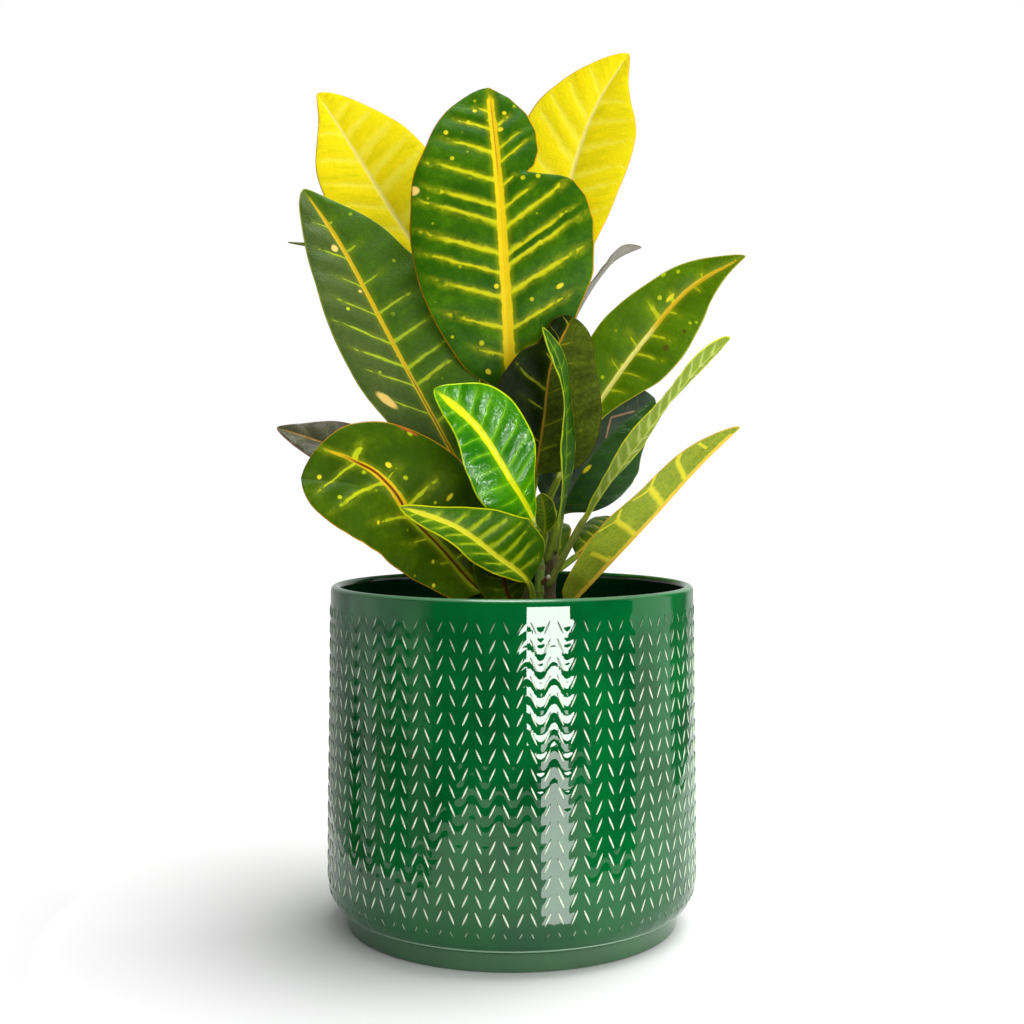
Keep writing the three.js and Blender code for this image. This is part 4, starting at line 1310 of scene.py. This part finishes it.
def leaf_finish(spec, seed, length):
    """Croton blade: mottled green with painted shade between the veins, coloured midrib, veins, margin and
    flecks, paler below.
    """
    tints = spec["look"]
    mix = new_recipe("croton_" + spec["name"])
    across, s, edge = mix.split(mix.attribute("blade", "Vector"))
    drift = mix.sum("MAXIMUM", s * (2 / length) - 1.0, 0.0) * spec["sway"]
    x = across - drift
    under = mix.attribute("under").over(0.5)
    petiole = mix.attribute("petiole")
    where = mix.vector(across, s, under * 40.0 + seed * 13.0)
    line, band, streaks = vein_marks(mix, spec, seed, length, x, s, edge, where)
    if spec["strokes"]:
        line = mix.sum("MAXIMUM", line, stroke_mask(mix, spec["strokes"], across, s, where))
    cloud = mix.noise(where, 14.0, 4.0, 0.6)
    mottle = mix.noise(where, 3.2, 3.0, 0.6)
    fine = mix.noise(where, 0.9, 2.0, 0.6)
    speck = mix.cells(where, 5.2)
    lot, size, _ = mix.split(mix.cells(where, 5.2, "Color"))
    flecks = speck.falls(size * 0.13 + 0.04, size * 0.13 + 0.12) * lot.over(1.0 - 0.5 * tints["dots"])
    flecks = flecks * cloud.rises(0.4, 0.5)
    bent = mix.vector(x + mix.noise(where, 4.0) * 5.0, s + mix.noise(where, 5.0, 1.0) * 5.0, 0.0)
    net = mix.cells(bent, 2.2, feature="DISTANCE_TO_EDGE").falls(0.02, 0.16)

    green = mix.mix(cloud.rises(0.32, 0.72), tints["deep"], tints["green"])
    if tints["other"]:
        far = mix.mix(cloud.rises(0.3, 0.7), darker(tints["other"], 0.75), tints["other"])
        green = mix.mix(x.rises(-0.3, 0.3), green, far)
    green = mix.mix(mottle.falls(0.3, 0.6) * 0.25, green, tints["deep"])
    # Painted shade: darker streaks between the veins, where the quilted blade shades itself.
    green = mix.mix(streaks.falls(0.35, 0.6) * 0.3, green, tints["deep"])
    green = mix.mix(net * tints["crackle"], green, darker(tints["patch"] or tints["deep"], 0.7))
    if tints["patch"]:
        green = mix.mix(streaks.rises(0.46, 0.66) * (1.0 - band) * 0.6, green, tints["patch"])
    green = mix.mix(band * mottle.rises(0.2, 0.7) * tints["halo"], green, tints["vein"])
    green = mix.mix(line * 0.92, green, tints["vein"])
    green = mix.mix(flecks * 0.9, green, tints["vein"])

    rib_foot, rib_tip = tints["rib_width"]
    rib_end = tints["rib_end"] * length
    half_rib = s * ((rib_tip - rib_foot) / length / 2) + rib_foot / 2
    thinner = s.rises(tints["rib_taper"] * length, rib_end) * 0.7
    half_rib = half_rib * (mix.noise(where, 3.0) * 0.6 + 0.68) * (1.0 - thinner)
    rib_mask = abs(x).falls(half_rib - 0.2, half_rib + 0.45) * s.falls(rib_end - 3.0, rib_end + 1.5)
    rib_colour = mix.mix(fine * 0.25, tints["rib"], tints["margin"])
    if tints["rib_foot"]:
        turn = tints["rib_turn"] * length
        rib_colour = mix.mix(s.rises(turn - 4.0, turn + 4.0), tints["rib_foot"], rib_colour)
    green = mix.mix(abs(x).falls(half_rib, half_rib + 2.6) * tints["halo"] * 0.7, green, tints["vein"])
    green = mix.mix(rib_mask, green, rib_colour)
    if tints["core"]:
        low, high = (place * length for place in tints["core_span"])
        half = tints["core_width"]
        core = abs(x).falls(half * 0.6, half * 1.1) * s.falls(rib_end - 6.0, rib_end)
        core = core * (s.rises(low - 6.0, low + 2.0) * s.falls(high - 4.0, high + 6.0) * 0.8 + 0.12)
        green = mix.mix(core, green, tints["core"])
    ragged = (mottle * 0.9 + 0.15) * tints["margin_width"]
    margin = edge.falls(ragged, ragged + 0.4)
    green = mix.mix(margin * 0.9, green, tints["margin"])

    below = mix.mix(cloud.rises(0.3, 0.7), darker(tints["under"], 0.82), tints["under"])
    below = mix.mix(net * tints["net"], below, tints["under_vein"])
    below = mix.mix(line * 0.85 + band * 0.1, below, tints["under_vein"])
    below = mix.mix(abs(x).falls(half_rib * 0.8, half_rib * 1.2), below, rib_colour)
    below = mix.mix(margin * 0.9, below, tints["margin"])
    colour = mix.mix(under, green, below)
    for spot_x, spot_s, wide, tall, slant, tint in spec["spots"]:
        dx = across - spot_x
        ds = (s - spot_s - dx * slant) / tall
        dx = dx / wide
        ring = mix.sum("SQRT", dx * dx + ds * ds) + (mottle - 0.5) * 0.5
        colour = mix.mix(ring.falls(0.7, 1.15) * (1.0 - under), colour, tint)
    stalk = mix.mix(fine, tints["petiole"], darker(tints["petiole"], 0.8))
    return mix.surface(
        Base_Color=mix.mix(petiole, colour, stalk),
        Roughness=under * 0.15 + cloud * 0.1 + tints["rough"],
        Specular_IOR_Level=tints["shine"],
        Normal=mix.bump(cloud * 0.25 - line * 0.1 - net * 0.04 + mottle * 0.06 + fine * 0.02),
        Subsurface_Weight=tints["glow"],
        Subsurface_Radius=(0.7, 1.0, 0.15),
        Subsurface_Scale=MM,
    )


def build_leaves(settings):
    for seed, spec in enumerate(LEAVES, 1):
        spine = leaf_spine(spec)
        length = spine.total - spine.foot
        bm = leaf_mesh(spec, seed, spine, length, settings)
        finish = leaf_finish(spec, seed, length)
        finish_piece(bm, "croton_" + spec["name"], finish, ["leaf_" + spec["name"]])


# Stage

CAMERA_AT = (0.0, -0.5574, 0.1754)
CAMERA_DIP = math.radians(1.84)
CAMERA_LENS = 50.8

SUN_FROM = (0.36, 0.24, 1.0)
SUN_SPREAD = math.radians(44)
FILL_FROM = (1.0, -1.4, 0.65)
FILL_SIZE = (1.6, 1.2)

# The table top's left, right, front and back edges, and how far the floor goes on beyond it
TABLE = (-0.17, 0.30, -0.35, 3.0)
FAR = 6.0

# Cards that the glaze mirrors: a bright strip with its pool on the table, a dark panel and a dark curve
STRIP_TURN = (math.radians(8.4), math.radians(33.8))
STRIP_FAR = 0.9
STRIP_HEIGHT = (-0.015, 0.085)
POOL_CORNERS = ((0.023, -0.109), (0.0446, -0.101), (0.273, -0.424), (0.144, -0.485))
POOL_SHARE = 0.36
DARK_PANEL = ((0.132, -0.168), (0.187, -0.084))
DARK_PANEL_HEIGHT = 0.5
DARK_CURVE = (0.178, 0.212, -100, -40)
CARD_LIFT = 0.0008

# Brightness of the mirrored studio by direction in degrees, 0 towards the camera and positive to the right
STUDIO_WALLS = (
    (-180, 0.6), (-140, 0.5), (-127, 0.45), (-123, 0.35), (-106, 0.35), (-102, 0.8), (-93, 0.8),
    (-90, 0.2), (-80, 0.2), (-77, 0.03), (-68, 0.03), (-64, 0.3), (-52, 0.3), (-48, 0.03), (70, 0.03),
    (73, 1.0), (114, 1.0), (118, 0.06), (138, 0.1), (146, 0.7), (180, 0.6),
)


def studio_sky(settings):
    """White sky; in reflections it is a studio with dark and pale walls and a bright ceiling."""
    mix = Recipe(bpy.data.worlds.new("studio"))
    x, y, z = mix.split(mix.out("ShaderNodeTexCoord", "Generated", {}))
    around = mix.sum("ARCTAN2", x, 0.0 - y) / math.tau + 0.5
    ramp = mix.add("ShaderNodeValToRGB")
    elements = ramp.color_ramp.elements
    elements[0].position, elements[1].position = 0.0, 1.0
    for degrees, level in STUDIO_WALLS[1:-1]:
        elements.new(degrees / 360 + 0.5)
    for element, (_, level) in zip(elements, STUDIO_WALLS):
        element.color = (level, level, level, 1)
    mix.feed(ramp, {0: around})
    ceiling = mix.mix(z.rises(0.70, 0.85), (0.1, 0.1, 0.1, 1), (0.5, 0.5, 0.5, 1))
    ceiling = mix.mix(z.rises(0.95, 0.98), ceiling, (12.0, 12.0, 12.0, 1))
    glow = z.rises(-0.15, -0.08) * around.rises(0.14, 0.18) * around.falls(0.32, 0.36) * 0.7
    walls = mix.mix(glow, Wire(mix, ramp.outputs[0]), (1, 1, 1, 1))
    corner = around.rises(0.170, 0.176) * around.falls(0.203, 0.209)
    corner = corner * z.rises(-0.31, -0.28) * z.falls(-0.17, -0.13)
    walls = mix.mix(corner, walls, (0.01, 0.015, 0.0, 1))
    mirrored = mix.mix(z.rises(0.4, 0.65), walls, ceiling)
    rays = mix.add("ShaderNodeLightPath")
    glossy = Wire(mix, rays.outputs["Is Glossy Ray"])
    seen = Wire(mix, rays.outputs["Is Camera Ray"])
    shade = x.falls(-0.7, 0.3) * z.falls(0.2, 0.6) * 0.85
    level = (x.rises(-1.0, 1.0) * (settings.sky * 1.15) + settings.sky * 0.3) * (1.0 - shade)
    plain = mix.mix(seen, mix.vector(level, level, level), (1, 1, 1, 1))
    back = mix.feed(mix.add("ShaderNodeBackground"), {"Color": mix.mix(glossy, plain, mirrored)})
    output = mix.add("ShaderNodeOutputWorld")
    mix.tree.links.new(back.outputs[0], output.inputs["Surface"])
    return mix.holder


def stage_piece(bm, name, material):
    bmesh.ops.recalc_face_normals(bm, faces=bm.faces)
    mesh = bpy.data.meshes.new(name)
    bm.to_mesh(mesh)
    bm.free()
    mesh.materials.append(material)
    piece = bpy.data.objects.new(name, mesh)
    bpy.context.scene.collection.objects.link(piece)
    return piece


def sheet(name, corners, material):
    """A flat stage sheet from its corners in metres."""
    bm = bmesh.new()
    bm.faces.new([bm.verts.new(corner) for corner in corners])
    return stage_piece(bm, name, material)


def only_mirrored(piece):
    """Shows a stage sheet in reflections alone."""
    piece.visible_camera = False
    piece.visible_diffuse = False
    piece.visible_shadow = False
    piece.visible_transmission = False


def upright(name, sides, heights, material):
    """A standing card between two places on the floor and two heights, seen in reflections alone."""
    (x0, y0), (x1, y1) = sides
    low, high = heights
    corners = [(x0, y0, low), (x1, y1, low), (x1, y1, high), (x0, y0, high)]
    only_mirrored(sheet(name, corners, material))


def light_card(name, strength):
    mix = new_recipe(name)
    return mix.surface(Base_Color=(0, 0, 0, 1), Emission_Color=(1, 1, 1, 1), Emission_Strength=strength)


def floor_finish():
    mix = new_recipe("white_floor")
    cloud = mix.noise(mix.place(), 300.0, 1.0)
    white = mix.mix(cloud, (0.92, 0.92, 0.92, 1), (0.94, 0.94, 0.94, 1))
    return mix.surface(Base_Color=white, Roughness=0.7)


def build_floor():
    """White floor; only the table top near the pot shows in the glaze."""
    white = floor_finish()
    left, right, front, back = TABLE
    sheet("table_top", [(left, front, 0), (right, front, 0), (right, back, 0), (left, back, 0)], white)
    beyond = [
        sheet("floor_front", [(-FAR, -FAR, 0), (FAR, -FAR, 0), (FAR, front, 0), (-FAR, front, 0)], white),
        sheet("floor_left", [(-FAR, front, 0), (left, front, 0), (left, FAR, 0), (-FAR, FAR, 0)], white),
        sheet("floor_right", [(right, front, 0), (FAR, front, 0), (FAR, FAR, 0), (right, FAR, 0)], white),
        sheet("floor_back", [(left, back, 0), (right, back, 0), (right, FAR, 0), (left, FAR, 0)], white),
    ]
    for piece in beyond:
        piece.visible_glossy = False
    beyond[1].visible_diffuse = False


def build_cards(settings):
    """Bright and dark cards that only the glaze and the leaves mirror."""
    sides = [(STRIP_FAR * math.sin(turn), -STRIP_FAR * math.cos(turn)) for turn in STRIP_TURN]
    upright("strip_light", sides, STRIP_HEIGHT, light_card("light_strip", settings.strip))
    pool = [(x, y, CARD_LIFT) for x, y in POOL_CORNERS]
    only_mirrored(sheet("strip_pool", pool, light_card("light_pool", settings.strip * POOL_SHARE)))
    black = light_card("dark_card", 0.0)
    upright("dark_panel", DARK_PANEL, (0.0, DARK_PANEL_HEIGHT), black)
    inner, outer, first, last = DARK_CURVE
    bm = bmesh.new()
    pose = Matrix.Rotation(math.radians(first), 4, "Z")
    ends = [bm.verts.new(pose @ Vector((0, -radius, CARD_LIFT))) for radius in (inner, outer)]
    bmesh.ops.spin(
        bm, geom=[*ends, bm.edges.new(ends)], axis=(0, 0, 1), cent=(0, 0, 0), steps=20,
        angle=math.radians(last - first),
    )
    only_mirrored(stage_piece(bm, "dark_curve", black))


def add_lamp(name, light, at, aim):
    lamp = bpy.data.objects.new(name, light)
    lamp.location = at
    lamp.rotation_euler = (Vector(aim) - Vector(at)).to_track_quat("-Z", "Y").to_euler()
    lamp.visible_glossy = False
    bpy.context.scene.collection.objects.link(lamp)


def build_stage(settings):
    scene = bpy.context.scene
    scene.view_settings.view_transform = "Standard"
    scene.view_settings.look = "None"
    scene.world = studio_sky(settings)
    build_floor()
    build_cards(settings)

    sun = bpy.data.lights.new("sun", "SUN")
    sun.energy = settings.sun
    sun.angle = SUN_SPREAD
    add_lamp("sun", sun, SUN_FROM, (0, 0, 0))
    fill = bpy.data.lights.new("front_fill", "AREA")
    fill.shape = "RECTANGLE"
    fill.size, fill.size_y = FILL_SIZE
    fill.energy = settings.fill
    add_lamp("front_fill", fill, FILL_FROM, (0, 0, 0.2))

    camera = bpy.data.cameras.new("camera")
    camera.lens = CAMERA_LENS
    camera.sensor_width = 36.0
    camera.clip_start = 0.01
    eye = bpy.data.objects.new("camera", camera)
    eye.location = CAMERA_AT
    eye.rotation_euler = (math.pi / 2 - CAMERA_DIP, 0, 0)
    scene.collection.objects.link(eye)
    scene.camera = eye


# Add-on

class PotSettings(bpy.types.PropertyGroup):
    """Sizes and colours of the glazed cachepot."""

    rim_radius: FloatProperty(
        name="Rim Radius", description="Outer radius at the rim", default=0.0696, unit="LENGTH",
    )
    glaze: FloatVectorProperty(
        name="Glaze", description="Colour where the glaze is thick", subtype="COLOR", size=3,
        default=srgb(0, 100, 42)[:3],
    )
    crest: FloatVectorProperty(
        name="Crest", description="Colour where the glaze breaks over the stitches", subtype="COLOR",
        size=3, default=srgb(228, 242, 214)[:3],
    )


class LeafSettings(bpy.types.PropertyGroup):
    """Thickness and relief of the blades."""

    blade_thickness: FloatProperty(
        name="Blade Thickness", description="Thickness between the veins", default=0.0005, unit="LENGTH",
        precision=5,
    )
    vein_relief: FloatProperty(
        name="Vein Relief", description="Rise of the blade between two veins", default=0.0006,
        unit="LENGTH", precision=5,
    )


class StageSettings(bpy.types.PropertyGroup):
    """Light of the studio."""

    sky: FloatProperty(name="Sky", description="Brightness of the white surroundings", default=0.66)
    sun: FloatProperty(name="Sun", description="Strength of the high light at the right", default=2.3)
    fill: FloatProperty(
        name="Fill", description="Power of the light at the front", default=12.5, unit="POWER",
    )
    strip: FloatProperty(
        name="Strip", description="Brightness of the strip light in the glaze", default=22.0,
    )


class CrotonOperator:
    """Shared by the operators that build the croton."""

    bl_options = {"REGISTER", "UNDO"}
    build = None
    settings = ""

    def execute(self, context):
        self.build(getattr(context.scene, self.settings))
        return {"FINISHED"}


class CROTON_OT_pot(CrotonOperator, bpy.types.Operator):
    """Build the glazed cachepot with its knit relief"""

    bl_idname = "croton.pot"
    bl_label = "Glazed Pot"
    build = staticmethod(build_pot)
    settings = "croton_pot"


class CROTON_OT_nursery_pot(CrotonOperator, bpy.types.Operator):
    """Build the grower's pot inside the cachepot"""

    bl_idname = "croton.nursery_pot"
    bl_label = "Grower's Pot"
    build = staticmethod(build_nursery_pot)
    settings = "croton_pot"


class CROTON_OT_soil(CrotonOperator, bpy.types.Operator):
    """Build the potting soil and the loose crumbs on it"""

    bl_idname = "croton.soil"
    bl_label = "Soil"
    build = staticmethod(build_soil)
    settings = "croton_pot"


class CROTON_OT_stems(CrotonOperator, bpy.types.Operator):
    """Build the three stems"""

    bl_idname = "croton.stems"
    bl_label = "Stems"
    build = staticmethod(build_stems)
    settings = "croton_leaf"


class CROTON_OT_leaves(CrotonOperator, bpy.types.Operator):
    """Build every leaf with its petiole, veins and colours"""

    bl_idname = "croton.leaves"
    bl_label = "Leaves"
    build = staticmethod(build_leaves)
    settings = "croton_leaf"


class CROTON_OT_stage(CrotonOperator, bpy.types.Operator):
    """Set up the floor, the lights and the camera"""

    bl_idname = "croton.stage"
    bl_label = "Stage"
    build = staticmethod(build_stage)
    settings = "croton_stage"


OPERATORS = (
    CROTON_OT_pot, CROTON_OT_nursery_pot, CROTON_OT_soil, CROTON_OT_stems, CROTON_OT_leaves,
    CROTON_OT_stage,
)


class CROTON_PT_panel(bpy.types.Panel):
    """Lists the pieces of the potted croton"""

    bl_idname = "CROTON_PT_panel"
    bl_label = "Potted Croton"
    bl_space_type = "VIEW_3D"
    bl_region_type = "UI"
    bl_category = "Croton"

    def draw(self, context):
        for operator in OPERATORS:
            self.layout.operator(operator.bl_idname)


GROUPS = {"croton_pot": PotSettings, "croton_leaf": LeafSettings, "croton_stage": StageSettings}
CLASSES = (*GROUPS.values(), *OPERATORS, CROTON_PT_panel)


def register():
    for cls in CLASSES:
        bpy.utils.register_class(cls)
    for name, group in GROUPS.items():
        setattr(bpy.types.Scene, name, PointerProperty(type=group))


def unregister():
    for name in GROUPS:
        delattr(bpy.types.Scene, name)
    for cls in reversed(CLASSES):
        bpy.utils.unregister_class(cls)


def main():
    register()
    bpy.ops.croton.pot()
    bpy.ops.croton.nursery_pot()
    bpy.ops.croton.soil()
    bpy.ops.croton.stems()
    bpy.ops.croton.leaves()
    bpy.ops.croton.stage()


if __name__ == "__main__":
    main()
